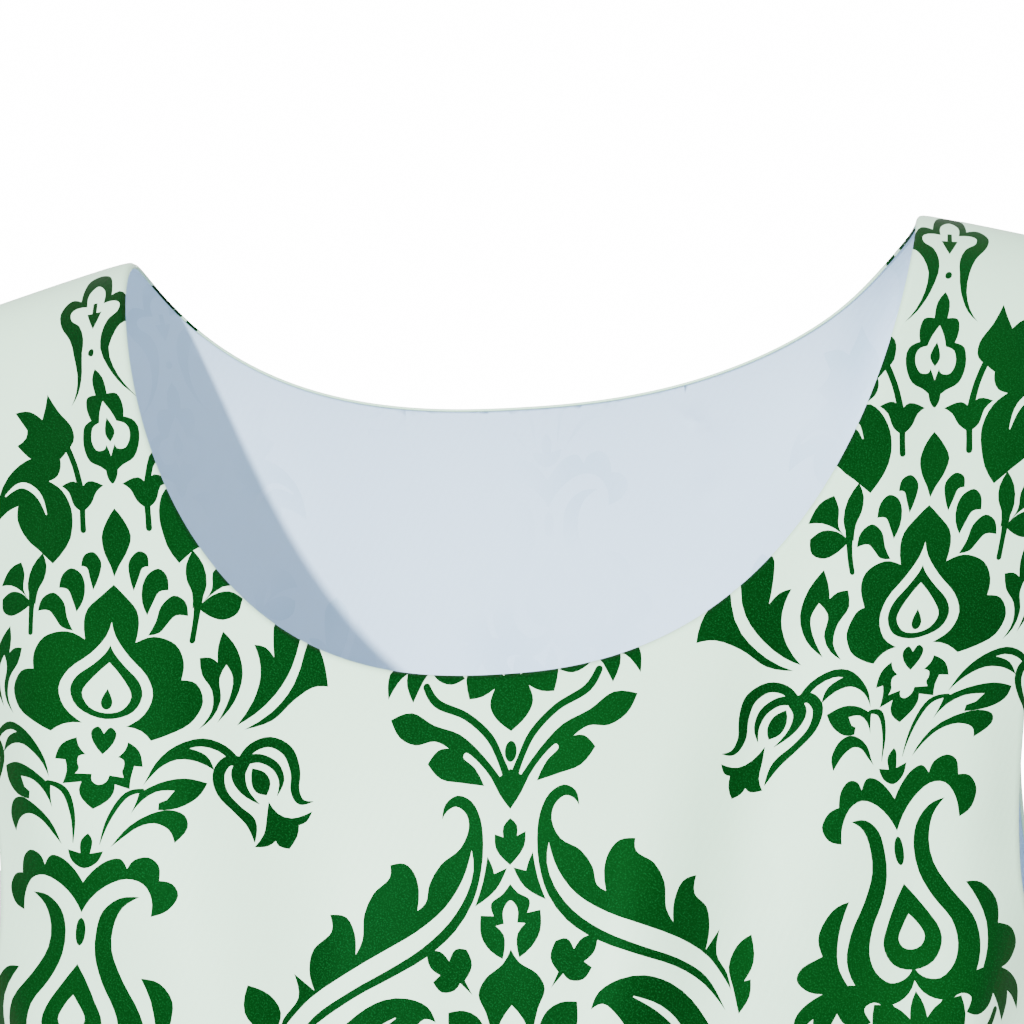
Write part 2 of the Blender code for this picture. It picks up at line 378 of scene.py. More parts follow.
    def flute_lift(self, flat: np.ndarray) -> np.ndarray:
        """How far the skirt's flutes lift the cloth off the form.

        Args:
            flat: Points across and down the cloth.

        Returns:
            The lift of each point.
        """
        quarter = self.quarter_at(flat[:, 1])
        share = flat[:, 0] / quarter
        height = np.interp(flat[:, 1], self.down, self.height)
        lift = np.zeros(len(flat))
        for fold in self.cut.folds:
            reach = (fold.start_height - height) / (fold.start_height - fold.full_height)
            aside = (share - fold.share) * quarter / fold.width
            lift += fold.depth * smooth_step(reach) * np.exp(-aside ** 2)
        return lift * smooth_step((1.0 - np.abs(share)) / self.SEAM_FLATNESS)

    def crease_lift(self, flat: np.ndarray) -> np.ndarray:
        """How far the creases raise or sink the cloth.

        Args:
            flat: Points across and down the cloth.

        Returns:
            The lift of each point, below zero in a trough.
        """
        lift = np.zeros(len(flat))
        for crease in self.cut.creases:
            run = np.array([crease.end_across - crease.across, crease.end_down - crease.down])
            length = np.hypot(*run)
            from_start = flat - np.array([crease.across, crease.down])
            along = (from_start @ run) / length ** 2
            aside = (run[0] * from_start[:, 1] - run[1] * from_start[:, 0]) / length
            swell = np.sin(math.pi * np.clip(along, 0.0, 1.0)) ** 2
            lift += crease.depth * swell * np.exp(-(aside / crease.width) ** 2)
        return lift

    def lift(self, flat: np.ndarray) -> np.ndarray:
        """How far the cloth stands off the form."""
        return self.flute_lift(flat) + self.crease_lift(flat)


# The shapes of the print.


def flatten_curve(knots: np.ndarray, sharp: np.ndarray, closed: bool, tolerance: float) -> np.ndarray:
    """Turns knots into a smooth line that bends sharply only at the sharp ones.

    Args:
        knots: The points that the line goes through, one row a point.
        sharp: Which of them are corners.
        closed: Whether the line returns to its first knot.
        tolerance: How far the straight steps may stray from the curve.

    Returns:
        Points along the line. A closed line leaves out its last point.
    """
    count = len(knots)
    ahead = np.roll(knots, -1, axis=0) - knots
    span = np.sqrt(np.maximum(np.linalg.norm(ahead[:, :2], axis=1), 1e-9))
    behind, span_behind = np.roll(ahead, 1, axis=0), np.roll(span, 1)
    speed = ahead * (span_behind / span)[:, None] + behind * (span / span_behind)[:, None]
    speed /= (span + span_behind)[:, None]
    corner = sharp.copy()
    if not closed:
        corner[[0, -1]] = True
    points = []
    for index in range(count if closed else count - 1):
        after = (index + 1) % count
        chord = ahead[index]
        leave, arrive = speed[index] * span[index], speed[after] * span[index]
        if corner[index] and corner[after]:
            leave = arrive = chord
        elif corner[index]:
            leave = 1.5 * chord - 0.5 * arrive
        elif corner[after]:
            arrive = 1.5 * chord - 0.5 * leave
        start, end = knots[index], knots[index] + chord
        first, second = start + leave / 3, end - arrive / 3
        bend = max(np.linalg.norm(start - 2 * first + second),
                   np.linalg.norm(first - 2 * second + end))
        steps = max(1, math.ceil(math.sqrt(0.75 * bend / tolerance)))
        for step in range(steps):
            t = step / steps
            points.append((1 - t) ** 3 * start + 3 * t * (1 - t) ** 2 * first
                          + 3 * t * t * (1 - t) * second + t ** 3 * end)
    if not closed:
        points.append(knots[-1])
    return np.array(points)


@dataclass(frozen=True)
class Leaf:
    """A printed shape with a closed outline, in millimetres. A third number marks a corner."""

    ink: Ink
    balance: Balance
    knots: tuple[Knot, ...]

    def outlines(self, tolerance: float) -> list[np.ndarray]:
        """Closed outlines of the shape on both sides of the axis.

        Args:
            tolerance: How far the straight steps may stray from the curve.

        Returns:
            One outline, or two for a pair.
        """
        points = np.array([knot[:2] for knot in self.knots])
        sharp = np.array([len(knot) > 2 for knot in self.knots])
        if self.balance is Balance.CENTRED:
            points = np.concatenate([points, points[-2:0:-1] * MIRROR])
            sharp = np.concatenate([sharp, sharp[-2:0:-1]])
            return [flatten_curve(points, sharp, True, tolerance)]
        outline = flatten_curve(points, sharp, True, tolerance)
        return [outline, outline * MIRROR]


@dataclass(frozen=True)
class Stem:
    """A printed line of changing width on both sides of the axis: across, down, half width."""

    CAP_TURNS = (60, 30, 0, -30, -60)

    ink: Ink
    knots: tuple[Knot, ...]

    def outlines(self, tolerance: float) -> list[np.ndarray]:
        """Closed outlines of the line and its twin.

        Args:
            tolerance: How far the straight steps may stray from the curve.

        Returns:
            Two outlines.
        """
        knots = np.array(self.knots)
        spine = flatten_curve(knots, np.zeros(len(knots), bool), False, tolerance / 2)
        course = unit(np.gradient(spine[:, :2], axis=0))
        across = np.stack([-course[:, 1], course[:, 0]], axis=1) * spine[:, 2:]
        middle = spine[:, :2]
        caps = []
        for end, outward, side in ((-1, course[-1], across[-1]), (0, -course[0], -across[0])):
            width = spine[end, 2]
            caps.append([middle[end] + outward * width * math.cos(turn) + side * math.sin(turn)
                         for turn in np.radians(self.CAP_TURNS)])
        outline = np.concatenate([middle + across, caps[0], (middle - across)[::-1], caps[1]])
        return [outline, outline * MIRROR]


def drop_shape(top: float, bottom: float, half_width: float, ink: Ink) -> Leaf:
    """A drop on the axis with its point up.

    Args:
        top: Where its point is, down the column.
        bottom: Where it ends.
        half_width: Half its width at two thirds of the way.
        ink: What it is filled with.

    Returns:
        The drop.
    """
    height = bottom - top
    knots = ((0, top, 1), (0.62 * half_width, top + 0.32 * height),
             (half_width, top + 0.66 * height), (0.66 * half_width, top + 0.92 * height),
             (0, bottom))
    return Leaf(ink, Balance.CENTRED, knots)


def oval_shape(middle: float, half_width: float, half_height: float) -> Leaf:
    """An oval dot on the axis.

    Args:
        middle: Where its middle is, down the column.
        half_width: Half its width.
        half_height: Half its height.

    Returns:
        The dot.
    """
    turns = np.radians((0, 36, 72, 108, 144, 180))
    knots = tuple((half_width * math.sin(a), middle - half_height * math.cos(a)) for a in turns)
    return Leaf(Ink.GREEN, Balance.CENTRED, knots)


GREEN, GROUND = Ink.GREEN, Ink.GROUND
CENTRED, PAIRED = Balance.CENTRED, Balance.PAIRED

LILY = (
    Leaf(GREEN, CENTRED, (
        (0, 57.4), (3.4, 58.8), (4.9, 63), (5.2, 66, 1), (8.8, 65.0), (12.1, 68.4), (11.4, 72.6),
        (8.2, 76.8), (6.4, 81.4), (6.6, 87), (8.6, 92), (11.6, 95.8, 1), (8, 92.6), (4.8, 87),
        (3.3, 81.4), (3.2, 77.4), (4.9, 73.6), (8, 71.2), (8.3, 69), (6.4, 68), (2.8, 68.3, 1),
        (2.7, 64.4), (0, 61.9))),
    Leaf(GREEN, CENTRED, (
        (0, 67.7, 1), (0.7, 67.8, 1), (0.75, 70.8, 1), (2.5, 70.7, 1), (1.3, 73.2), (0, 75.4, 1))),
    oval_shape(82.0, 1.1, 1.1),
)
TREFOIL = (
    Leaf(GREEN, CENTRED, (
        (0, 86.8, 1), (1.9, 89.6), (2.1, 94.2, 1), (5.4, 94.6), (6.4, 98), (5.7, 101.2, 1),
        (9.0, 103), (9.7, 108), (7.6, 113), (3.8, 114.8), (2.0, 116, 1), (1.5, 118.2),
        (0, 120))),
    Leaf(GROUND, CENTRED, (
        (0, 96.2, 1), (1.9, 99.2), (3, 102.2, 1), (5.9, 103.6), (6.6, 107), (4.9, 110),
        (2.2, 109.9), (1.4, 108.6, 1), (0.9, 109.6), (0, 111.9, 1))),
    Leaf(GREEN, CENTRED, (
        (0, 100.9, 1), (1.4, 103.8), (1.6, 105.6), (0, 107.9, 1))),
)
TULIP = (
    Leaf(GREEN, PAIRED, (
        (15.6, 108.6, 1), (20.3, 112.2), (27.2, 111.2), (32.8, 106.2, 1), (29.6, 104),
        (28.5, 101.6, 1), (30.9, 96.2, 1), (26, 96), (22.7, 98.6, 1), (20.6, 95),
        (18.7, 91.2, 1), (16.6, 96.6), (13.2, 102), (13.4, 106.4))),
    Stem(GREEN, ((15.9, 107.6, 1.0), (13.2, 113.5, 1.0), (11.2, 120.8, 1.1))),
    Leaf(GREEN, PAIRED, (
        (10.9, 120.9, 1), (8.4, 118.8), (3.1, 120.2, 1), (5.6, 122), (7.6, 125.6),
        (10.7, 127.8), (13.6, 126), (15.4, 121.8), (18, 119.6, 1), (13.6, 118.4))),
    Stem(GREEN, ((10.7, 126.4, 1.0), (10.7, 130, 0.95), (10.6, 133.6, 1.0))),
    Leaf(GREEN, PAIRED, (
        (18.4, 110.8, 1), (23.4, 109.6), (30, 111), (36.5, 115.6), (40.5, 122), (41.8, 129.8, 1),
        (37.2, 126.6), (33.2, 125.2, 1), (33.4, 130), (29.8, 136.4), (24.8, 140.2),
        (19.4, 144.4, 1), (15.8, 139), (14.2, 133), (14.6, 126.8), (17.8, 121), (22.4, 117.8, 1),
        (19.4, 116.4), (18.2, 113.6))),
    Stem(GROUND, ((37.6, 121.4, 0.3), (31.6, 118.6, 0.9), (26.4, 121.6, 0.9), (23.2, 128.4, 0.2))),
)
FAN = (
    Leaf(GREEN, CENTRED, (
        (0, 127.1, 1), (2.6, 130.4), (4.7, 135.4), (3.4, 140.4), (1.4, 143.8), (0, 147.2, 1))),
    Leaf(GREEN, PAIRED, (
        (7.1, 140), (9.8, 141.2), (10.4, 144.6, 1), (8.6, 144.9), (7.5, 147.6), (6.1, 151.4, 1),
        (4.6, 147), (4.3, 142.8))),
    Leaf(GREEN, PAIRED, (
        (13.4, 145.4), (15.8, 147.6), (16.3, 151.8, 1), (13.6, 152.1), (12, 154.8),
        (10.3, 158.6, 1), (8.7, 154.8), (8.6, 150.2), (10.2, 146.8))),
    Leaf(GREEN, PAIRED, (
        (17.8, 153.4), (21, 155.4), (21.9, 159.6, 1), (18.4, 159.2), (16.3, 161.2), (14, 163.8),
        (10.7, 164.4, 1), (12.8, 160.6), (14.2, 156.2))),
)
CROWN = (
    Leaf(GREEN, CENTRED, (
        (0, 149.4, 1), (3.6, 152.8), (7.2, 157), (8, 161), (7.2, 166.4, 1), (12.4, 164.8),
        (18.8, 167.4), (21.4, 172.6), (21, 177.6, 1), (25.4, 178.8), (27.8, 184), (25, 190),
        (19, 193.4), (14, 195.2, 1), (10.6, 192.4), (6, 191.2), (0, 191.8))),
    Leaf(GROUND, CENTRED, (
        (0, 160.4, 1), (1.3, 164.6), (5.4, 170.4), (10.8, 176.2), (12.9, 182), (10.8, 187.6),
        (5.2, 191.6, 1), (3, 193), (0, 193.4))),
    Leaf(GREEN, CENTRED, (
        (0, 167.2, 1), (1.2, 169.6), (4.4, 173.4), (8.6, 177.8), (9.9, 182), (7.6, 186.8),
        (0, 189.3))),
    drop_shape(172.4, 187.5, 6.7, GROUND),
    drop_shape(180.2, 186.5, 1.6, GREEN),
    Leaf(GREEN, CENTRED, ((0, 193.6, 1), (1.7, 191.6), (3.4, 193.2), (2.7, 196.4), (0, 199.8, 1))),
)
CUP = (
    Leaf(GREEN, CENTRED, (
        (0, 216, 1), (3.6, 213.2), (4.8, 210.8), (4.6, 208.4, 1), (9.4, 209.7, 1), (9.0, 206),
        (9.6, 202.8, 1), (12.4, 203, 1), (10.8, 198.4), (7.0, 195.7, 1), (6.3, 198.2),
        (4.4, 200.3, 1), (6.2, 201.2), (6.3, 203.4, 1), (5.9, 204.6), (6.7, 206.3, 1),
        (2.4, 205.8, 1), (1.9, 207.8), (0, 208.8))),
)
SPRAYS = (
    Leaf(GREEN, PAIRED, (
        (13.4, 208.6, 1), (16.4, 201.8), (22, 196.4), (29, 194.2), (35, 196.2), (39.2, 200.6, 1),
        (37.2, 201.4, 1), (33.2, 197.8), (28.8, 196.6), (25.8, 197.2, 1), (30.4, 199.2),
        (32.6, 203.4, 1), (28.2, 201), (22.8, 200.6), (17.4, 203.6))),
    Stem(GREEN, ((39, 200.6, 1.5), (35.6, 200.6, 1.5), (33.6, 204.6, 1.5), (35.2, 210, 1.3),
                 (39.4, 214.4, 1.2), (43.4, 218, 1.4), (45.4, 223.8, 0.15))),
    Stem(GREEN, ((39.2, 200.2, 1.2), (41.8, 196.2, 1.3), (46.2, 194.4, 1.5), (51, 196.8, 1.6),
                 (53.6, 202.6, 1.5), (54.2, 208.6, 1.3), (56.6, 212.4, 0.9), (60.6, 213.2, 0.1))),
    Stem(GREEN, ((39.6, 200.6, 1.7), (38.4, 204.4, 1.8), (40.4, 208.8, 1.1), (44.8, 212.4, 0.1))),
    Stem(GREEN, ((39.8, 200.2, 1.3), (43.6, 199.2, 1.3), (47.8, 201.2, 1.2), (49.8, 205.4, 0.8),
                 (49.3, 209.8, 0.1))),
    Leaf(GREEN, PAIRED, (
        (41.8, 202.2, 1), (45.2, 203.2), (46.9, 206.4), (46.4, 209.8, 1), (43.4, 209),
        (41.8, 206))),
    Leaf(GREEN, PAIRED, (
        (47.2, 211.6, 1), (50.4, 215.2), (54.6, 217), (60.8, 216.2, 1), (59.4, 219),
        (57.2, 219.6, 1), (57.3, 223), (55.6, 226.6, 1), (52.4, 225.3), (51.2, 223.6, 1),
        (49.4, 225.1), (45.6, 225.4, 1), (47.5, 221.4), (47.4, 216))),
    Stem(GREEN, ((3.8, 226.2, 0.1), (5.2, 218, 0.7), (8.8, 211.4, 0.9), (13.6, 210, 0.6))),
    Leaf(GREEN, PAIRED, (
        (12.6, 210.8, 1), (18.4, 207.6), (25.4, 206), (31.2, 207.2, 1), (29.2, 211.6),
        (24.6, 215), (19.2, 215.8, 1), (19.2, 213.6, 1), (21.4, 212.6, 1), (23.2, 209.8, 1),
        (18, 210.3), (14, 213), (11.2, 217, 1), (12.3, 213))),
    Leaf(GREEN, PAIRED, (
        (7, 227, 1), (11.4, 220.6), (17, 217), (22.6, 215.6), (26.4, 217), (27.5, 220.8),
        (24.6, 225.6, 1), (22.6, 221.6), (18.6, 219.8), (14, 221), (10, 224.2))),
)
SIDE_LEAVES = (
    Leaf(GREEN, PAIRED, (
        (27.4, 191.8, 1), (30.4, 186.4), (29.9, 180.8), (26.8, 176.4), (25.8, 171.6, 1),
        (28.8, 171.6), (30.9, 173, 1), (30.7, 168.6), (31.7, 164.4, 1), (36.1, 169.4),
        (38.1, 176), (36.4, 183.6), (32.2, 189.8, 1), (34.9, 182.6), (35.4, 177.2),
        (33.4, 173.6, 1), (31.8, 177.4), (32.6, 183.6), (30.7, 188.6))),
    Leaf(GREEN, PAIRED, (
        (37.3, 190.4, 1), (41.2, 183.4), (43, 176.4), (42.4, 171.6), (40.8, 168, 1),
        (44.2, 168.6), (46.8, 171.2, 1), (46.4, 165), (47.2, 158.4), (51, 155.4, 1),
        (54.8, 160.4), (54.8, 167), (52.4, 173.8), (47.4, 181.2), (42, 186.8))),
    Leaf(GREEN, PAIRED, (
        (39.3, 191.4, 1), (46.5, 186), (52.8, 178.6), (56.4, 170.6), (58.2, 163.2, 1),
        (60, 167.6), (62.9, 173.4), (64.4, 181.4, 1), (58.8, 180.4), (52.8, 183), (46.6, 188.4))),
    Leaf(GREEN, PAIRED, (
        (25, 156.2, 1), (26.9, 151), (26.2, 145.4), (23.4, 141, 1), (21.3, 145.2), (21.4, 149.4),
        (22.8, 153), (23, 157.6, 1))),
    Leaf(GREEN, PAIRED, (
        (24.4, 157.4, 1), (28.4, 154.2), (33, 153.3), (36.6, 155.2, 1), (35.6, 159.4),
        (31.6, 161.3), (27.6, 160))),
    Leaf(GREEN, PAIRED, (
        (25.6, 156.2, 1), (28.2, 152.6), (28.6, 147.8), (30.6, 143.8, 1), (34.8, 145.6),
        (37.6, 150.8, 1), (33.4, 151.2), (29.2, 153.2))),
    Stem(GREEN, ((24.6, 154.5, 1.3), (24.2, 159.4, 0.9), (23.4, 166.6, 0.85))),
)
VASE = (
    Leaf(GREEN, CENTRED, (
        (0, 223.1, 1), (1.6, 225.2), (1.4, 229, 1), (5.1, 228.2, 1), (3.6, 231.6), (0, 233.4))),
    Leaf(GREEN, CENTRED, (
        (0, 237.4, 1), (2.4, 234.2), (6.4, 231), (10.2, 230.4), (12.5, 233.4, 1), (14.2, 230.8),
        (18.1, 230), (21.1, 232.4), (21.8, 236.9, 1), (25.4, 237.8), (27.4, 241.2), (25.2, 245.2),
        (20.6, 247, 1), (20.4, 242.4), (17.6, 238), (12.6, 236.4), (6.8, 238.4), (2.6, 242),
        (0, 246, 1))),
    Leaf(GREEN, CENTRED, (
        (0, 284.4), (1.4, 286.2), (3.4, 287.6), (7.2, 288), (11.4, 284.4), (13.2, 278.6),
        (12, 271.6), (8, 264.8), (5.2, 257.6), (4.9, 251), (6.6, 245.4), (11.2, 241.9),
        (17, 241.6, 1), (12.4, 244.6), (10.1, 250), (10.2, 256), (13.8, 263.6), (18.6, 271),
        (20.2, 279), (18.2, 287), (13, 292.6), (6.6, 294.2), (2, 291.6), (0, 288, 1))),
    drop_shape(260.2, 285.0, 8.8, GREEN),
    drop_shape(268.8, 279.1, 3.9, GROUND),
    oval_shape(251.3, 1.6, 3.9),
    Leaf(GREEN, PAIRED, (
        (18.4, 262, 1), (23.4, 262.6), (27.2, 267), (26.8, 274, 1), (32.6, 276.2), (35.2, 281.4),
        (32, 286.2), (26.2, 287.8), (20.4, 286.6, 1), (22.4, 281), (22.6, 273.4), (21, 267))),
    oval_shape(295.2, 1.6, 2.9),
)
ARCH = (
    Leaf(GREEN, PAIRED, (
        (3.8, 3.4, 1), (7.8, -4), (14.2, -8.6), (22.6, -10.6), (31.2, -8), (37.4, -2.4),
        (37.8, 5, 1), (34.6, 0.6), (31.6, -1.8, 1), (31.6, 2), (29.5, 7, 1), (26.6, 1.4),
        (24.2, -2.4, 1), (22, 1.2), (17.8, 3), (13.8, 1.6, 1), (15.6, -2.6), (12.6, -4),
        (7.8, -1))),
    Leaf(GREEN, CENTRED, (
        (0, -6, 1), (1.8, -2), (2.4, 1.8, 1), (6, -1.8), (12.6, -3.4, 1), (13.5, 2),
        (12.4, 7.8, 1), (8.6, 7.4), (5, 5.4, 1), (6.3, 10), (4.6, 14), (0, 18.2, 1))),
    Stem(GREEN, ((25.4, 2.8, 1.1), (22.2, 7.8, 1.25), (13.2, 12.6, 1.1), (6.2, 19.4, 1.1),
                 (2.8, 26.4, 1.0), (1.2, 30.6, 1.2))),
    Leaf(GREEN, CENTRED, (
        (0, 29, 1), (3.1, 31, 1), (8.4, 24), (15, 17.6), (22.8, 14.2), (29.8, 9.8), (36.8, 11, 1),
        (33.6, 16.6), (28.4, 19.4), (22.6, 18.9), (18.3, 21.3, 1), (21.4, 21.6), (24.6, 25.2, 1),
        (20.4, 30), (14.6, 31.6), (7.6, 33.2, 1), (10.4, 27.8), (13.9, 24.3), (13.2, 23.1),
        (9.4, 26.2), (5.6, 31.2), (3.2, 36), (0, 40.6, 1))),
    oval_shape(24.0, 1.75, 3.1),
    Leaf(GREEN, CENTRED, (
        (0, 43.1, 1), (2, 45.4), (2, 48.4, 1), (4.5, 47.3, 1), (4, 51.8), (0, 56.6, 1))),
)
SCROLLS = (
    Leaf(GREEN, PAIRED, (
        (20, 41.6, 1), (19, 37.2), (15.5, 35.1), (11.3, 37.2), (8.6, 42.6), (7.8, 50), (8.4, 57.4),
        (10.9, 66), (16.2, 73.8), (25, 80.4), (36.4, 85.6), (47, 90), (56.6, 96.2),
        (64, 104.6, 1), (57.6, 94.2), (48, 87.9), (37.2, 83.2), (26.4, 77.8), (18, 71.2),
        (12.8, 63.8), (10.7, 57), (11.2, 51.2, 1), (13.8, 59.2), (19.2, 66.8), (27.8, 72.8),
        (38, 77.4), (48.6, 82.2), (58.6, 88.6), (66, 98.4), (66.4, 99.6, 1), (65.2, 94),
        (61.6, 88), (63.2, 80.6, 1), (57.6, 86.4, 1), (59.3, 80), (58.6, 74), (54, 69.6),
        (54.8, 64.4, 1), (49.8, 66), (47, 71.4), (46.6, 77.4, 1), (44.6, 73.4), (44.2, 66),
        (41.4, 60.4), (36.2, 56.4), (36, 52.8, 1), (31.4, 52.9), (28.4, 56), (27, 61),
        (27.5, 66.8, 1), (25, 64.8), (23.8, 59.6), (20.4, 54.4), (14.6, 50.4), (12.1, 45),
        (12.8, 40.8), (15.8, 38.3), (18.4, 39.3))),
    Leaf(GREEN, PAIRED, (
        (75, 82.6, 1), (69, 86.2), (65.8, 92), (67.2, 99), (68.6, 106, 1), (72.8, 101.2),
        (73.6, 96.2, 1), (71.2, 96.6, 1), (75, 91))),
    Leaf(GREEN, PAIRED, (
        (6.6, 53.4, 1), (5.2, 56.4), (4.6, 58.6, 1), (0.9, 57.3, 1), (4.2, 63.2), (10.3, 67.4, 1),
        (8, 60.8))),
    Leaf(GREEN, CENTRED, (
        (0, 61.9, 1), (2.2, 64.6), (5.6, 67), (4.9, 70.6, 1), (8.7, 70.1, 1), (8.6, 76),
        (6, 80.4), (2.4, 83.1, 1), (1.7, 79.4), (2, 76.2), (4.3, 73.5, 1), (1.9, 73.1, 1),
        (2, 69), (0, 66.6))),
    Leaf(GREEN, CENTRED, (
        (0, 80.5, 1), (2.4, 84.4), (7.6, 88.2), (9.7, 92.6), (7.6, 98), (6.4, 102.6, 1),
        (9.4, 107), (8.2, 114.6), (4, 121), (0, 127, 1))),
    Leaf(GROUND, CENTRED, (
        (0, 96.4, 1), (3.2, 100.6), (5, 105.8), (4.2, 112.6), (0, 118.6, 1))),
    drop_shape(103, 113, 2.2, GREEN),
    Leaf(GREEN, PAIRED, (
        (7.8, 102.8, 1), (10.2, 98.8), (14, 96.8), (18.8, 97, 1), (18.6, 104), (16, 110.6),
        (11.5, 116, 1), (11.8, 108.6))),
    Leaf(GREEN, PAIRED, (
        (12.9, 79.4, 1), (16.2, 79), (18.2, 82.2, 1), (20.8, 79.2), (25, 78.7, 1), (24, 83.4),
        (21, 86, 1), (23.2, 87.8, 1), (20.6, 91), (16.8, 90.8), (15, 88.8, 1), (11.4, 92.6, 1),
        (13.6, 88.2, 1), (11.4, 84))),
    Leaf(GREEN, PAIRED, (
        (22.6, 99.6, 1), (25, 94.8), (31, 91.8), (38, 91.5), (45.6, 94.6), (52.4, 100.4),
        (58.6, 109, 1), (57.4, 117), (51.4, 123.6), (43.6, 127.4, 1), (45.4, 120.8),
        (42.4, 114.6, 1), (38.6, 119.6), (31.8, 122, 1), (34.4, 115), (33.2, 107.6),
        (29.4, 101.2), (26, 98.3))),
    Stem(GROUND, ((34.8, 97.2, 0.2), (42, 101.4, 0.9), (47.6, 107.4, 0.9), (50.8, 114.8, 0.2))),
)
FOOT = (
    Leaf(GREEN, CENTRED, (
        (0, 130.6, 1), (1.8, 133), (1.6, 136, 1), (4.8, 135.2, 1), (3.6, 139.6), (0, 142, 1))),
    Stem(GREEN, ((4.4, 150.6, 0.2), (8.4, 143, 1.3), (15.4, 136.8, 1.9), (24, 134.6, 1.9),
                 (31, 138, 1.6), (32.6, 144.8, 1.2), (28.4, 148.6, 0.9), (24.6, 146.4, 0.2))),
    Stem(GREEN, ((18, 131.6, 0.1), (27.4, 128.8, 1.4), (36, 131.6, 1.6), (40.6, 138.2, 0.1))),
    oval_shape(147.6, 1.3, 1.9),
)


@dataclass(frozen=True)
class Bump:
    """A local push of the print across and down the cloth, in millimetres about an axis."""

    aside: float
    amount: float
    width: float
    down: float
    reach: float
    sink: float = 0.0


@dataclass(frozen=True)
class Sway:
    """How one side's columns wander across the cloth: distances down, and shifts there."""

    downs: tuple[float, ...]
    shifts: tuple[float, ...]
    bumps: tuple[Bump, ...]


LEFT_SWAY = Sway((0, 65, 98, 137, 184, 211, 233, 257, 277, 330, 480),
                 (-14, -12.6, -3.0, 2.0, 1.3, 0.4, -4.2, -7.4, -11.4, -12, 0),
                 (Bump(-34, -5.0, 24, 205, 80, sink=-8.0), Bump(55, 7.5, 26, 205, 60, sink=2.4),
                  Bump(0, 0.0, 34, 244, 24, sink=-0.8), Bump(34, 2.4, 18, 158, 20),
                  Bump(24, -3.4, 14, 211, 18), Bump(26, 5.0, 14, 278, 16, sink=6.0),
                  Bump(-26, -6.0, 14, 282, 18)))
RIGHT_SWAY = Sway((0, 63, 98, 135, 185, 209, 232, 257, 279, 302, 480),
                  (5, 4.8, 1.2, 1.3, -5.2, -8.2, -13.2, -10.7, -7.2, -6.2, 0),
                  (Bump(-30, 7.0, 22, 226, 48), Bump(34, 3.5, 24, 195, 42),
                   Bump(-64, -6.0, 14, 185, 18), Bump(26, -3.0, 17, 242, 20, sink=-7.0),
                   Bump(-10, 0.0, 22, 240, 18, sink=-1.8), Bump(-32, -2.6, 13, 276, 15, sink=5.0),
                   Bump(34, 2.4, 14, 272, 15, sink=1.5), Bump(-26, 4.4, 8, 186, 12),
                   Bump(32, 5.5, 12, 224, 16), Bump(-34, 3.4, 15, 222, 16),
                   Bump(8, 0.0, 20, 216, 18, sink=-3.0)))
NO_SWAY = Sway((0, 1), (0, 0), ())


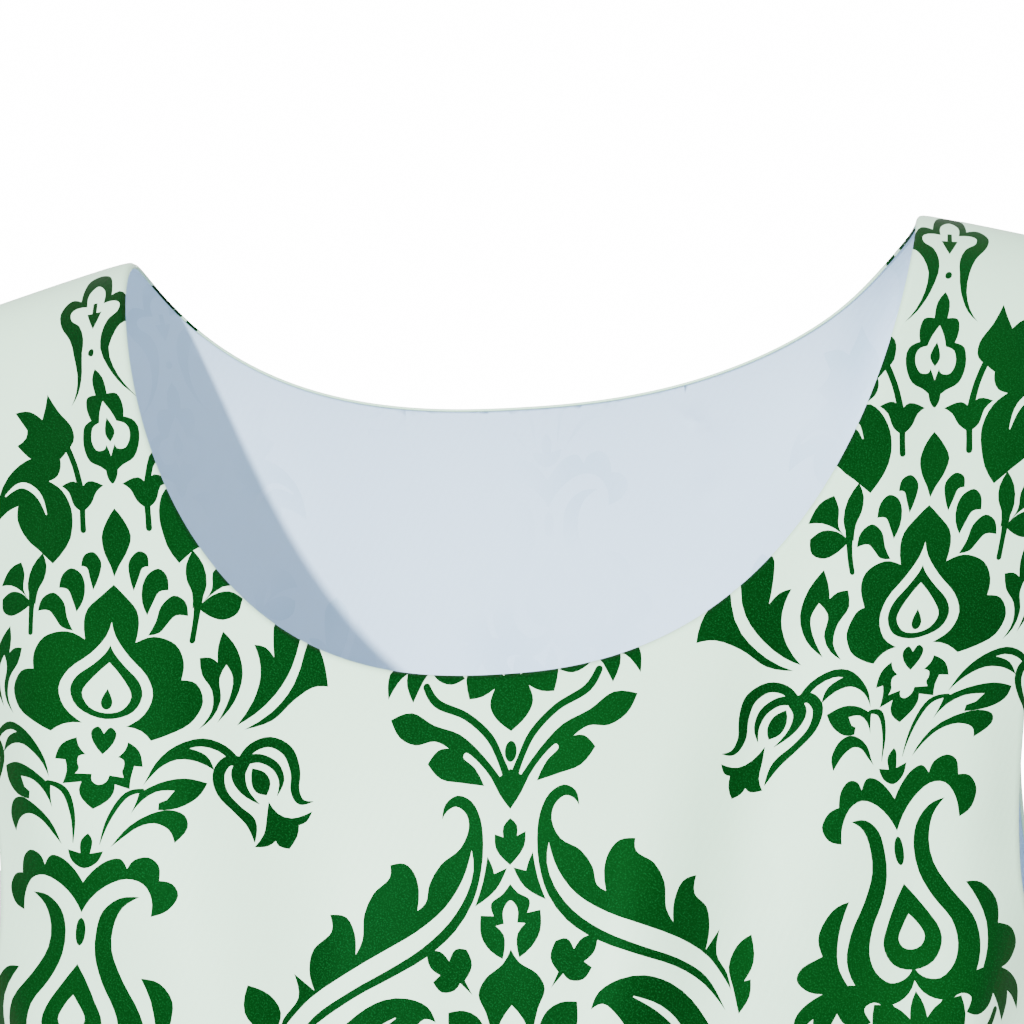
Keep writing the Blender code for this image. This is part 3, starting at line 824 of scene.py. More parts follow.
@dataclass(frozen=True)
class Damask:
    """The damask print: columns of two kinds in turn, laid on a panel in millimetres.

    The columns hold the same run of shapes, and every second one starts further up. The run is
    a little longer than it is deep on the cloth near the shoulders, where the cloth is eased.
    """

    pitch: float = 125.0
    repeat: float = 396.0
    scroll_start: float = 297.0
    turn_about: float = -111.7
    axis: float = 5.2
    rise: float = 0.051
    depth_offset: float = 6.7
    shoulder_ease: float = 66.0
    shoulder_start: float = 43.0
    shoulder_fade: float = 39.0
    sag: float = 0.0
    sag_aside: float = 72.0
    sag_width: float = 18.0
    sag_down: float = 205.0
    sag_reach: float = 50.0
    side_start: float = 45.0
    side_blend: float = 50.0
    past_shoulder: float = 2.0
    past_hem: float = 60.0
    lead: float = 30.0
    settling: int = 3
    tolerance: float = 0.11
    left: Sway = NO_SWAY
    right: Sway = NO_SWAY

    def shapes(self) -> list[tuple[Ink, np.ndarray]]:
        """Every outline of one run, in the order that it is printed.

        Returns:
            Pairs of ink and outline, with the outline about its column's axis.
        """
        runs = ((0.0, LILY + TREFOIL + TULIP + FAN + CROWN + CUP + SPRAYS + SIDE_LEAVES + VASE),
                (self.scroll_start, ARCH + SCROLLS + FOOT))
        found = []
        for start, shapes in runs:
            for shape in shapes:
                found += [(shape.ink, line + (0.0, start))
                          for line in shape.outlines(self.tolerance)]
        return found

    def lay(self, form: Form, line: np.ndarray, column: int, start: float) -> np.ndarray:
        """Lays an outline of the print on a panel's flat pattern.

        Args:
            form: The form of the panel's side.
            line: The outline about its column's axis.
            column: The column's number, counted from the middle one.
            start: How far down the column this run starts.

        Returns:
            The outline in metres across and down the cloth.
        """
        along = line[:, 1] + start
        ease = self.shoulder_ease * np.exp((self.shoulder_start - along) / self.shoulder_fade)
        level = along + self.depth_offset - ease
        aside = line[:, 0] + column * self.pitch
        push, sink = self.shift(aside, level)
        across = self.axis + aside + push
        level = level + sink
        down = np.maximum(level - self.rise * across, -self.past_shoulder) * MILLIMETRE
        across *= MILLIMETRE
        settled = down.copy()
        for _ in range(self.settling):
            flat = np.stack([across, np.maximum(settled, 0.0)], axis=1)
            settled = down - form.shoulder_drop(form.place(flat)[:, 0], flat[:, 1])
        return np.stack([across, settled], axis=1)

    def shift(self, aside: np.ndarray, level: np.ndarray) -> tuple[np.ndarray, np.ndarray]:
        """How far the print has wandered on the cloth.

        Args:
            aside: Distances from the middle column's axis.
            level: Distances down the cloth.

        Returns:
            The shift of each point across and down.
        """
        push = np.zeros(len(aside))
        sink = self.sag * np.exp(-((np.abs(aside) - self.sag_aside) / self.sag_width) ** 2
                                 - ((level - self.sag_down) / self.sag_reach) ** 2)
        for sign, sway in ((-1.0, self.left), (1.0, self.right)):
            weight = smooth_step((sign * aside - self.side_start) / self.side_blend)
            push += weight * np.interp(level, sway.downs, sway.shifts)
            from_axis = aside - sign * self.pitch
            for bump in sway.bumps:
                share = np.exp(-((from_axis - bump.aside) / bump.width) ** 2
                               - ((level - bump.down) / bump.reach) ** 2)
                push += bump.amount * share
                sink += bump.sink * share
        return push, sink

    def printed_lines(self, form: Form, corner: np.ndarray) -> list[tuple[Ink, np.ndarray]]:
        """Every outline that touches a panel.

        Args:
            form: The form of the panel's side.
            corner: The panel's greatest distances across and down.

        Returns:
            Pairs of ink and outline, in metres on the flat pattern.
        """
        shapes = self.shapes()
        columns = int(corner[0] / MILLIMETRE / self.pitch) + 2
        repeats = int(corner[1] / MILLIMETRE / self.repeat) + 2
        found = []
        for column in range(-columns, columns + 1):
            first = 0.0 if column % 2 else self.turn_about
            for repeat in range(-1, repeats + 1):
                for ink, line in shapes:
                    start = first + repeat * self.repeat
                    if (line[:, 1].max() + start < self.shoulder_start - self.lead
                            or line[:, 1].min() + start > corner[1] / MILLIMETRE + self.past_hem):
                        continue
                    laid = self.lay(form, line, column, start)
                    inside = (np.abs(laid[:, 0]) < corner[0]) & (laid[:, 1] > 0.0)
                    if (inside & (laid[:, 1] < corner[1])).any():
                        found.append((ink, laid))
        return found


# The panels and their stitches.


@dataclass(frozen=True)
class Strip:
    """A narrow closed strip of cloth: four rows of points round its section."""

    rows: np.ndarray
    pattern: np.ndarray
    finish: int

    def faces(self) -> np.ndarray:
        """Quads round the strip and at its two ends, facing outwards.

        Returns:
            The quads.
        """
        count = self.rows.shape[1]
        step = np.arange(count - 1)
        quads = [np.stack([row * count + step, row * count + step + 1,
                           after * count + step + 1, after * count + step], axis=1)
                 for row, after in ((0, 1), (1, 2), (2, 3), (3, 0))]
        first = np.arange(4) * count
        quads = np.concatenate(quads + [first[None], (first + count - 1)[::-1][None]])
        corners = self.rows.reshape(-1, 3)[quads]
        corners = corners - corners.mean(axis=(0, 1))
        halves = np.cross(corners[:, 1], corners[:, 2]) + np.cross(corners[:, 2], corners[:, 3])
        volume = np.sum(corners[:, 0] * halves)
        return quads if volume > 0 else quads[:, ::-1]

    def facing(self) -> np.ndarray:
        """Directions away from the middle of the strip, for rounded edges."""
        return unit(self.rows - self.rows.mean(axis=0)).reshape(-1, 3)


@dataclass(frozen=True)
class StitchRow:
    """A path for stitches, with the way that each one runs and the way that it faces."""

    points: np.ndarray
    course: np.ndarray
    facing: np.ndarray


@dataclass(frozen=True)
class Stitching:
    """Machine stitches of one size, laid along rows by geometry nodes."""

    name: str
    spacing: float
    length: float
    width: float
    height: float
    seed: int = 7

    def tree(self) -> Tree:
        """Builds the node tree that lays a stitch at even steps along each row.

        Returns:
            The tree.
        """
        tree = bpy.data.node_groups.new(self.name, "GeometryNodeTree")
        face = tree.interface
        face.new_socket("Rows", in_out="INPUT", socket_type="NodeSocketGeometry")
        face.new_socket("Spacing", in_out="INPUT", socket_type="NodeSocketFloat")
        face.new_socket("Size", in_out="INPUT", socket_type="NodeSocketVector")
        face.new_socket("Seed", in_out="INPUT", socket_type="NodeSocketInt")
        face.new_socket("Thread", in_out="INPUT", socket_type="NodeSocketMaterial")
        face.new_socket("Stitches", in_out="OUTPUT", socket_type="NodeSocketGeometry")
        new, link = tree.nodes.new, tree.links.new
        given, result = new("NodeGroupInput"), new("NodeGroupOutput")
        curve, steps = new("GeometryNodeMeshToCurve"), new("GeometryNodeResampleCurve")
        steps.mode = "LENGTH"
        ball, shape = new("GeometryNodeMeshUVSphere"), new("GeometryNodeTransform")
        ball.inputs["Segments"].default_value = 6
        ball.inputs["Rings"].default_value = 4
        ball.inputs["Radius"].default_value = 0.5
        place, vary = new("GeometryNodeInstanceOnPoints"), new("FunctionNodeRandomValue")
        vary.inputs[2].default_value = 0.90
        vary.inputs[3].default_value = 1.08
        turns = []
        for name, axis in (("course", "X"), ("facing", "Z")):
            read = new("GeometryNodeInputNamedAttribute")
            turn = new("FunctionNodeAlignRotationToVector")
            read.data_type = "FLOAT_VECTOR"
            read.inputs["Name"].default_value = name
            turn.axis = axis
            link(read.outputs["Attribute"], turn.inputs["Vector"])
            turns.append(turn)
        turns[1].pivot_axis = "X"
        real, dress = new("GeometryNodeRealizeInstances"), new("GeometryNodeSetMaterial")
        link(given.outputs["Rows"], curve.inputs["Mesh"])
        link(curve.outputs["Curve"], steps.inputs["Curve"])
        link(given.outputs["Spacing"], steps.inputs["Length"])
        link(given.outputs["Size"], shape.inputs["Scale"])
        link(ball.outputs["Mesh"], shape.inputs["Geometry"])
        link(steps.outputs["Curve"], place.inputs["Points"])
        link(shape.outputs["Geometry"], place.inputs["Instance"])
        link(turns[0].outputs["Rotation"], turns[1].inputs["Rotation"])
        link(turns[1].outputs["Rotation"], place.inputs["Rotation"])
        link(given.outputs["Seed"], vary.inputs["Seed"])
        link(vary.outputs[1], place.inputs["Scale"])
        link(place.outputs["Instances"], real.inputs["Geometry"])
        link(real.outputs["Geometry"], dress.inputs["Geometry"])
        link(given.outputs["Thread"], dress.inputs["Material"])
        link(dress.outputs["Geometry"], result.inputs["Stitches"])
        return tree

    def sew(self, rows: list[StitchRow], thread: bpy.types.Material) -> bpy.types.Object:
        """Lays the stitches.

        Args:
            rows: The rows that they follow.
            thread: The thread's finish.

        Returns:
            An object with all the stitches as one mesh.
        """
        edges, count = [], 0
        for row in rows:
            edges += [(index, index + 1) for index in range(count, count + len(row.points) - 1)]
            count += len(row.points)
        mesh = bpy.data.meshes.new(self.name)
        mesh.from_pydata(np.concatenate([row.points for row in rows]).tolist(), edges, [])
        for name in ("course", "facing"):
            values = np.concatenate([getattr(row, name) for row in rows]).astype(np.float32)
            layer = mesh.attributes.new(name, "FLOAT_VECTOR", "POINT")
            layer.data.foreach_set("vector", values.ravel())
        obj = link_object(self.name, mesh)
        modifier = obj.modifiers.new(self.name, "NODES")
        tree = self.tree()
        modifier.node_group = tree
        values = {"Spacing": self.spacing, "Size": (self.length, self.width, self.height),
                  "Seed": self.seed, "Thread": thread}
        for item in tree.interface.items_tree:
            if item.name in values:
                modifier[item.identifier] = values[item.name]
        graph = bpy.context.evaluated_depsgraph_get()
        sewn = bpy.data.meshes.new_from_object(obj.evaluated_get(graph))
        obj.modifiers.clear()
        obj.data = sewn
        sewn.shade_smooth()
        return obj


@dataclass(frozen=True)
class EdgeRoll:
    """A stretch of a panel's edge and how far its cloth rolls inwards there."""

    line: np.ndarray
    radius: float


class Panel:
    """One panel of the dress as a thin printed shell."""

    THICKNESS = 0.0010
    NECK_ROLL = 0.0021
    ARMHOLE_ROLL = 0.0034
    SEAM_ROLL = 0.0006
    HEM_ROLL = 0.0009
    ROLL_SHARE = 0.97
    ROLL_MARGIN = 0.0001
    BODICE_SPACING = 0.0085
    SKIRT_SPACING = 0.0125
    EDGE_SPACING = 0.0035
    EDGE_ROWS = (0.0005, 0.0012, 0.0022, 0.0045)
    CLEARANCE = 0.0060
    PROBE = 0.0012
    BARE_NECK = 0.104
    HEM_TURN = 0.016
    HEM_STITCH = 0.013
    HEM_TUCK = 0.0014
    HEM_END = 0.006
    HEM_STEPS = 150
    ALLOWANCE = 0.0085
    STRIP_THICKNESS = 0.0008
    STRIP_GAP = 0.0002
    THREAD_STEPS = 400
    THREAD_END = 0.005
    THREAD_RISE = 0.00005
    THREAD_SINK = 0.0003
    THREAD_INSET = 0.0012
    ARMHOLE_LEAN = 0.004
    ARMHOLE_REACH = 0.040

    def __init__(self, cut: PanelCut, damask: Damask) -> None:
        """Prepares the panel's form, cut edge and print.

        Args:
            cut: How the panel is cut.
            damask: The print that lies on it.
        """
        self.cut = cut
        self.damask = damask
        self.form = Form(cut)
        self.facing = cut.side.value
        self.under = self.form.down_at(Form.UNDERARM_HEIGHT)
        self.hem = self.form.down_at(Form.HEM_HEIGHT)
        self.neck = self.neckline(180)
        self.armhole = self.armhole_line(64)
        self.seam = self.seam_line(self.SKIRT_SPACING)
        self.rolls = self.edge_rolls()

    def neckline(self, count: int) -> np.ndarray:
        """The scoop from the right shoulder to the left one.

        Args:
            count: The number of steps along it.

        Returns:
            Points across and down the cloth.
        """
        turn = np.linspace(0.0, math.pi, count + 1)
        cosine, sine = np.cos(turn), np.clip(np.sin(turn), 0.0, 1.0)
        across = -np.sign(cosine) * np.abs(cosine) ** (2 / self.cut.neck_fullness)
        across = across * Form.NECK_HALF_WIDTH + self.cut.neck_lean * sine ** 2
        down = self.cut.neck_depth * sine ** (2 / self.cut.neck_bluntness)
        return self.even_line(np.stack([across, down], axis=1), self.EDGE_SPACING)

    @staticmethod
    def even_line(line: np.ndarray, spacing: float) -> np.ndarray:
        """Spaces the points of a line evenly.

        Args:
            line: Points along the line.
            spacing: The greatest distance between two new points.

        Returns:
            The new points, with both ends kept.
        """
        arc = np.concatenate([[0.0], np.cumsum(np.hypot(*np.diff(line, axis=0).T))])
        marks = np.linspace(0.0, arc[-1], max(2, math.ceil(arc[-1] / spacing) + 1))
        return np.stack([np.interp(marks, arc, line[:, axis]) for axis in (0, 1)], axis=1)

    def armhole_line(self, count: int) -> np.ndarray:
        """The left armhole's edge, from the shoulder's end to the underarm.

        Args:
            count: The number of steps along each of its two curves.

        Returns:
            Points across and down the cloth.
        """
        cut, tip = self.cut, Form.SHOULDER_HALF_WIDTH
        inset_down = self.form.down_at(cut.armhole_inset_height)
        corner = float(self.form.quarter_at(self.under))
        inset = (cut.armhole_inset, inset_down)
        level = inset_down + 0.75 * (self.under - inset_down)
        curves = (((tip, 0.0), (tip - self.ARMHOLE_LEAN, 0.35 * inset_down),
                   (cut.armhole_inset, 0.60 * inset_down), inset),
                  (inset, (cut.armhole_inset, level), (corner - self.ARMHOLE_REACH, self.under),
                   (corner, self.under)))
        t = np.linspace(0.0, 1.0, count + 1)[:, None]
        pieces = [(1 - t) ** 3 * np.array(a) + 3 * t * (1 - t) ** 2 * np.array(b)
                  + 3 * t * t * (1 - t) * np.array(c) + t ** 3 * np.array(d)
                  for a, b, c, d in curves]
        return self.even_line(np.concatenate([pieces[0], pieces[1][1:]]), self.EDGE_SPACING)

    def seam_line(self, spacing: float) -> np.ndarray:
        """The left side seam, from the underarm to the hem.

        Args:
            spacing: The distance between its points.

        Returns:
            Points across and down the cloth.
        """
        count = round((self.hem - self.under) / spacing)
        downs = np.linspace(self.under, self.hem, count + 1)
        return np.stack([self.form.quarter_at(downs), downs], axis=1)

    def beside(self, line: np.ndarray, distance: float) -> np.ndarray:
        """Moves a stretch of the cut edge outwards.

        Args:
            line: The stretch's points.
            distance: How far it moves, or inwards where it is negative.

        Returns:
            The moved points.
        """
        course = unit(np.gradient(line, axis=0))
        aside = np.stack([-course[:, 1], course[:, 0]], axis=1)
        middle = (line[len(line) // 2 - 1] + line[len(line) // 2]) / 2
        probe = middle + aside[len(line) // 2] * MILLIMETRE
        inwards = encloses(self.outline(), probe[None])[0]
        return line - aside * distance if inwards else line + aside * distance

    def edge_rolls(self) -> list[EdgeRoll]:
        """The panel's edges with the radius each one rolls in by.

        Returns:
            The edges, each a little outside the cut edge.
        """
        corner = self.seam[-1]
        hem = np.stack([np.linspace(corner[0], -corner[0], 2), np.full(2, self.hem)], axis=1)
        ends = (Form.NECK_HALF_WIDTH, Form.SHOULDER_HALF_WIDTH)
        shoulder = np.array([(ends[0], 0.0), (ends[1], 0.0)])
        edges = [(self.neck, self.NECK_ROLL)]
        for line, radius in ((self.armhole, self.ARMHOLE_ROLL), (self.seam, self.SEAM_ROLL),
                             (shoulder, self.SEAM_ROLL)):
            edges += [(line, radius), (line * MIRROR, radius)]
        edges.append((hem, self.HEM_ROLL))
        return [EdgeRoll(self.beside(line, self.ROLL_MARGIN), radius + self.ROLL_MARGIN)
                for line, radius in edges]

    @staticmethod
    def nearest(points: np.ndarray, line: np.ndarray) -> tuple[np.ndarray, np.ndarray]:
        """Finds how far each point is from a line, and which way.

        Args:
            points: Points on the flat pattern.
            line: The line's points.

        Returns:
            The distances, and unit vectors towards the line.
        """
        best = np.full(len(points), np.inf)
        towards = np.zeros((len(points), 2))
        for start, end in zip(line[:-1], line[1:]):
            run = end - start
            along = np.clip(((points - start) @ run) / (run @ run), 0.0, 1.0)
            gap = start + along[:, None] * run - points
            far = np.hypot(gap[:, 0], gap[:, 1])
            closer = far < best
            best[closer], towards[closer] = far[closer], gap[closer]
        return best, unit(towards)

    def outline(self) -> np.ndarray:
        """The panel's cut edge all the way round, without repeating its first point.

        Returns:
            Points across and down the cloth.
        """
        corner = self.seam[-1, 0]
        steps = round(2 * corner / self.SKIRT_SPACING)
        hem = np.stack([np.linspace(corner, -corner, steps + 1), np.full(steps + 1, self.hem)], 1)
        ends = Form.NECK_HALF_WIDTH, Form.SHOULDER_HALF_WIDTH
        count = round((ends[1] - ends[0]) / self.EDGE_SPACING)
        seam = np.stack([np.linspace(ends[0], ends[1], count + 1), np.zeros(count + 1)], axis=1)
        left = np.concatenate([self.armhole[:-1], self.seam[:-1]])
        right = (np.concatenate([self.armhole, self.seam[1:-1]]) * MIRROR)[::-1]
        return np.concatenate([left, hem, right[:-1], (seam * MIRROR)[::-1][:-1],
                               self.neck[:-1], seam[:-1]])

    def inner_points(self, edge: np.ndarray) -> np.ndarray:
        """Points inside the outline, in rows and columns that flare with the panel.

        Args:
            edge: The panel's outline.

        Returns:
            Points across and down the cloth.
        """
        rows = []
        for start, end, spacing, first in ((0.0, self.under, self.BODICE_SPACING, 1),
                                           (self.under, self.hem, self.SKIRT_SPACING, 0)):
            for down in np.linspace(start, end, round((end - start) / spacing) + 1)[first:-1]:
                quarter = float(self.form.quarter_at(down))
                across = np.linspace(-quarter, quarter, round(2 * quarter / spacing) + 1)[1:-1]
                rows.append(np.stack([across, np.full(len(across), down)], axis=1))
        points = np.concatenate(rows)
        closed = np.concatenate([edge, edge[:1]])
        return points[self.nearest(points, closed)[0] > self.CLEARANCE]

    def edge_rows(self, edge: np.ndarray) -> np.ndarray:
        """Rows of points along the neck and armholes, close enough to round their roll.

        Args:
            edge: The panel's outline.

        Returns:
            Points across and down the cloth.
        """
        lines = (self.neck, self.armhole, self.armhole * MIRROR)
        rows = [self.beside(line, -depth)[1:-1] for line in lines for depth in self.EDGE_ROWS]
        points = np.concatenate(rows)
        closed = np.concatenate([edge, edge[:1]])
        return points[self.nearest(points, closed)[0] > 0.8 * self.EDGE_ROWS[0]]

    def cut_cloth(self) -> tuple[np.ndarray, np.ndarray, np.ndarray]:
        """Cuts the flat panel into triangles along its print.

        Returns:
            The points, the triangles and the ink of each triangle.
        """
        edge = self.outline()
        corner = np.array([np.abs(edge[:, 0]).max(), edge[:, 1].max()])
        lines = self.damask.printed_lines(self.form, corner)
        borders, count = [], 0
        for line in [edge] + [line for _, line in lines]:
            index = np.arange(len(line))
            borders.append(np.stack([index, np.roll(index, -1)], axis=1) + count)
            count += len(line)
        points = np.concatenate([edge] + [line for _, line in lines]
                                + [self.inner_points(edge), self.edge_rows(edge)])
        verts = [Vector(point) for point in points / MILLIMETRE]
        coords, _, faces, _, _, _ = delaunay_2d_cdt(
            verts, np.concatenate(borders).tolist(), [], 0, 1e-4)
        flat = np.array([tuple(point) for point in coords]) * MILLIMETRE
        triangles = np.array(faces)
        middle = flat[triangles].mean(axis=1)
        kept = encloses(edge, middle)
        triangles, middle = triangles[kept], middle[kept]
        ink = np.zeros(len(triangles), int)
        for tint, line in lines:
            ink[encloses(line, middle)] = tint.value
        if self.cut.side is Side.BACK:
            bare = (np.abs(middle[:, 0]) < self.BARE_NECK) & (
                self.nearest(middle, self.neck)[0] < self.NECK_ROLL)
            ink[bare] = Ink.GROUND.value
        used, triangles = np.unique(triangles, return_inverse=True)
        triangles = triangles.reshape(-1, 3)
        LOG.info("%s: %d outlines, %d triangles a side", self.cut.name, len(lines), len(triangles))
        return flat[used], triangles, ink

    def above(self, flat: np.ndarray) -> np.ndarray:
        """The points a short step further up the cloth, no higher than the shoulder ridge."""
        return np.stack([flat[:, 0], np.maximum(flat[:, 1] - self.PROBE, 0.0)], axis=1)

    def raised(self, flat: np.ndarray) -> np.ndarray:
        """Lays the cloth on the form and folds it, before its edges roll in.

        Args:
            flat: Points across and down the cloth.

        Returns:
            Points of the folded cloth's outside.
        """
        step, place = self.PROBE, self.form.place
        ahead = place(flat + (step, 0.0)) - place(flat - (step, 0.0))
        below = place(flat + (0.0, step)) - place(self.above(flat))
        normal = unit(np.cross(ahead, below)) * self.facing
        base = place(flat)
        on_seam = np.abs(base[:, 1]) < Form.SEAM_GAP
        normal[on_seam, 1] = 0.0
        return base + unit(normal) * self.form.lift(flat)[:, None]

    def shell(self, flat: np.ndarray) -> tuple[np.ndarray, np.ndarray]:
        """Lays the cloth's outside on the form, folds it and rolls its edges.

        Args:
            flat: Points across and down the cloth.

        Returns:
            The points and the directions that the cloth faces there.
        """
        step = self.PROBE
        quarter = self.form.quarter_at(flat[:, 1])
        room = np.minimum(step, np.maximum(quarter - np.abs(flat[:, 0]), 0.0))
        still = np.zeros(len(flat))
        right = flat + np.stack([np.where(flat[:, 0] > 0, room, step), still], axis=1)
        left = flat - np.stack([np.where(flat[:, 0] < 0, room, step), still], axis=1)
        course = self.raised(right) - self.raised(left)
        fall = self.raised(flat + (0.0, step)) - self.raised(self.above(flat))
        normal = unit(np.cross(course, fall)) * self.facing
        on_seam = np.abs(self.form.place(flat)[:, 1]) < Form.SEAM_GAP
        normal[on_seam, 1] = 0.0
        normal = unit(normal)
        points = self.raised(flat)
        course, fall = unit(course), unit(fall)
        turned = normal.copy()
        for roll in self.rolls:
            far, towards = self.nearest(flat, roll.line)
            near = far < roll.radius
            sine = self.ROLL_SHARE * (roll.radius - far[near]) / roll.radius
            sink = roll.radius * (1.0 - np.sqrt(1.0 - sine ** 2))
            out = unit(course[near] * towards[near, :1] + fall[near] * towards[near, 1:])
            points[near] -= normal[near] * sink[:, None]
            turned[near] = unit(normal[near] * np.sqrt(1.0 - sine ** 2)[:, None]
                                + out * sine[:, None])
        return self.keep_to_side(points), turned

    def keep_to_side(self, points: np.ndarray) -> np.ndarray:
        """Stops the panel half a seam gap short of the plane where the panels meet."""
        points[:, 1] = self.facing * np.maximum(points[:, 1] * self.facing, Form.SEAM_GAP / 2)
        return points

    def build(self, finishes: list[bpy.types.Material]) -> bpy.types.Object:
        """Builds the panel.

        Args:
            finishes: The cloth's ground, its print and its wrong side.

        Returns:
            The panel's object.
        """
        flat, triangles, ink = self.cut_cloth()
        outside, normals = self.shell(flat)
        inside = self.keep_to_side(outside - normals * self.THICKNESS)
        outer = triangles[:, ::-1] if self.facing < 0 else triangles
        rim, rim_ink = self.rim_edges(outer, ink)
        ring = np.unique(rim)
        course = np.zeros(outside.shape)
        along = unit(outside[rim[:, 1]] - outside[rim[:, 0]])
        for end in (0, 1):
            np.add.at(course, rim[:, end], along)
        out = unit(np.cross(unit(course[ring]), normals[ring]))
        middle = (outside[ring] + inside[ring]) / 2 + out * self.THICKNESS / 2
        middle = self.keep_to_side(middle)
        faces = [outer, outer[:, ::-1] + len(flat), self.rim_faces(rim, ring, len(flat))]
        faces = np.concatenate(faces).tolist()
        indices = [ink, np.full(len(outer), 2), np.tile(rim_ink, 4)]
        vertices, facing = [outside, inside, middle], [normals, -normals, out]
        pattern = [flat, flat, flat[ring]]
        for strip in self.strips():
            start = sum(len(part) for part in vertices)
            faces += (strip.faces() + start).tolist()
            indices.append(np.full(len(strip.faces()), strip.finish))
            vertices.append(strip.rows.reshape(-1, 3))
            facing.append(strip.facing())
            pattern.append(np.tile(strip.pattern, (4, 1)))
        vertices = np.concatenate(vertices)
        indices = np.concatenate(indices)
        mesh = make_mesh(self.cut.name, vertices, faces)
        for finish in finishes:
            mesh.materials.append(finish)
        mesh.polygons.foreach_set("material_index", indices.astype(np.int32))
        add_pattern_map(mesh, np.concatenate(pattern) * (1.0, -1.0))
        self.add_show_through(mesh, ink)
        mesh.normals_split_custom_set_from_vertices(np.concatenate(facing))
        return link_object(self.cut.name, mesh)

    def strips(self) -> list[Strip]:
        """The turned-up hem and the two side seam allowances, inside the panel.

        Returns:
            Closed strips of cloth.
        """
        thick, near = self.STRIP_THICKNESS, self.THICKNESS + self.STRIP_GAP
        levels = [self.hem_line(up, self.HEM_END, self.HEM_STEPS)
                  for up in (self.HEM_TUCK, self.HEM_TURN)]
        low, high = self.shell(levels[0]), self.shell(levels[1])
        rows = [low[0] - low[1] * near, high[0] - high[1] * near,
                high[0] - high[1] * (near + thick), low[0] - low[1] * (near + thick)]
        found = [Strip(np.array(rows), levels[1], 0)]
        for sign in (-1.0, 1.0):
            line = self.seam[:-2] * (sign, 1.0)
            edge, normal = self.shell(line)
            aside = np.array([0.0, self.facing, 0.0])
            shallow = edge - normal * near
            deep = edge - normal * self.ALLOWANCE
            shallow[:, 1] = deep[:, 1] = 0.0
            gap, far = Form.SEAM_GAP / 2, Form.SEAM_GAP / 2 + thick
            rows = [shallow + aside * gap, deep + aside * gap,
                    deep + aside * far, shallow + aside * far]
            found.append(Strip(np.array(rows), line, 2))
        return found

    def hem_line(self, up: float, end: float, count: int) -> np.ndarray:
        """A line along the hem.

        Args:
            up: How far above the hem's edge it lies.
            end: How far from each side seam it stops.
            count: The number of its points.

        Returns:
            Points across and down the cloth.
        """
        half = self.seam[-1, 0] - end
        return np.stack([np.linspace(-half, half, count), np.full(count, self.hem - up)], axis=1)

    def hem_rows(self) -> list[StitchRow]:
        """The hem's stitches, outside the panel and inside its turned-up hem.

        Returns:
            Two rows.
        """
        line = self.hem_line(self.HEM_STITCH, self.THREAD_END, self.THREAD_STEPS)
        points, normal = self.shell(line)
        course = unit(np.gradient(points, axis=0))
        depth = self.THICKNESS + self.STRIP_THICKNESS + self.THREAD_SINK
        return [StitchRow(points + normal * self.THREAD_RISE, course, normal),
                StitchRow(points - normal * depth, course, -normal)]

    def seam_rows(self) -> list[StitchRow]:
        """The overlock threads along the edges of both side seam allowances.

        Returns:
            One row for each side seam.
        """
        rows = []
        for sign in (-1.0, 1.0):
            edge, normal = self.shell(self.seam[:-2] * (sign, 1.0))
            points = edge - normal * (self.ALLOWANCE - self.THREAD_INSET)
            points[:, 1] = 0.0
            rows.append(StitchRow(points, normal, np.tile((0.0, 1.0, 0.0), (len(points), 1))))
        return rows

    @staticmethod
    def rim_edges(triangles: np.ndarray, ink: np.ndarray) -> tuple[np.ndarray, np.ndarray]:
        """Finds the edges that only one triangle has.

        Args:
            triangles: The outer layer's triangles.
            ink: The ink of each.

        Returns:
            The edges, in their triangles' direction, and the ink of each.
        """
        edges = np.concatenate([triangles[:, [0, 1]], triangles[:, [1, 2]], triangles[:, [2, 0]]])
        inks = np.tile(ink, 3)
        key = edges.min(axis=1) * (edges.max() + 1) + edges.max(axis=1)
        _, first, counts = np.unique(key, return_index=True, return_counts=True)
        alone = first[counts == 1]
        return edges[alone], inks[alone]

    @staticmethod
    def rim_faces(rim: np.ndarray, ring: np.ndarray, count: int) -> np.ndarray:
        """Closes the cut edge between the two layers, through the ring of points half way.

        Args:
            rim: The outer layer's open edges.
            ring: The points on them, once each.
            count: The number of points in a layer.

        Returns:
            The triangles.
        """
        place = np.full(count, -1)
        place[ring] = np.arange(len(ring)) + 2 * count
        tail, head = rim[:, 0], rim[:, 1]
        quads = (np.stack([head, tail, place[tail], place[head]], axis=1),
                 np.stack([place[head], place[tail], tail + count, head + count], axis=1))
        return np.concatenate([quad[:, order] for quad in quads
                               for order in ((0, 1, 2), (0, 2, 3))])

    @staticmethod
    def add_show_through(mesh: bpy.types.Mesh, ink: np.ndarray) -> None:
        """Stores which faces of the wrong side have print behind them.

        Args:
            mesh: The panel's mesh, with its outer layer first and its inner layer next.
            ink: The ink of each triangle of the outer layer.
        """
        values = np.zeros(len(mesh.polygons), np.float32)
        values[len(ink):2 * len(ink)] = ink
        mesh.attributes.new("show_through", "FLOAT", "FACE").data.foreach_set("value", values)


def make_mesh(name: str, vertices: np.ndarray, faces: list[list[int]]) -> bpy.types.Mesh:
    """Makes a smooth mesh.

    Args:
        name: Its name.
        vertices: Its points.
        faces: Its triangles or quads.

    Returns:
        The mesh.
    """
    mesh = bpy.data.meshes.new(name)
    mesh.from_pydata(vertices.tolist(), [], faces)
    mesh.update()
    mesh.shade_smooth()
    return mesh


def add_pattern_map(mesh: bpy.types.Mesh, pattern: np.ndarray) -> None:
    """Gives a mesh a map of its flat pattern, in metres.

    Args:
        mesh: The mesh.
        pattern: The place of each of its points on the pattern.
    """
    corners = np.empty(len(mesh.loops), np.int32)
    mesh.loops.foreach_get("vertex_index", corners)
    layer = mesh.uv_layers.new(name="pattern")
    layer.data.foreach_set("uv", pattern[corners].astype(np.float32).ravel())


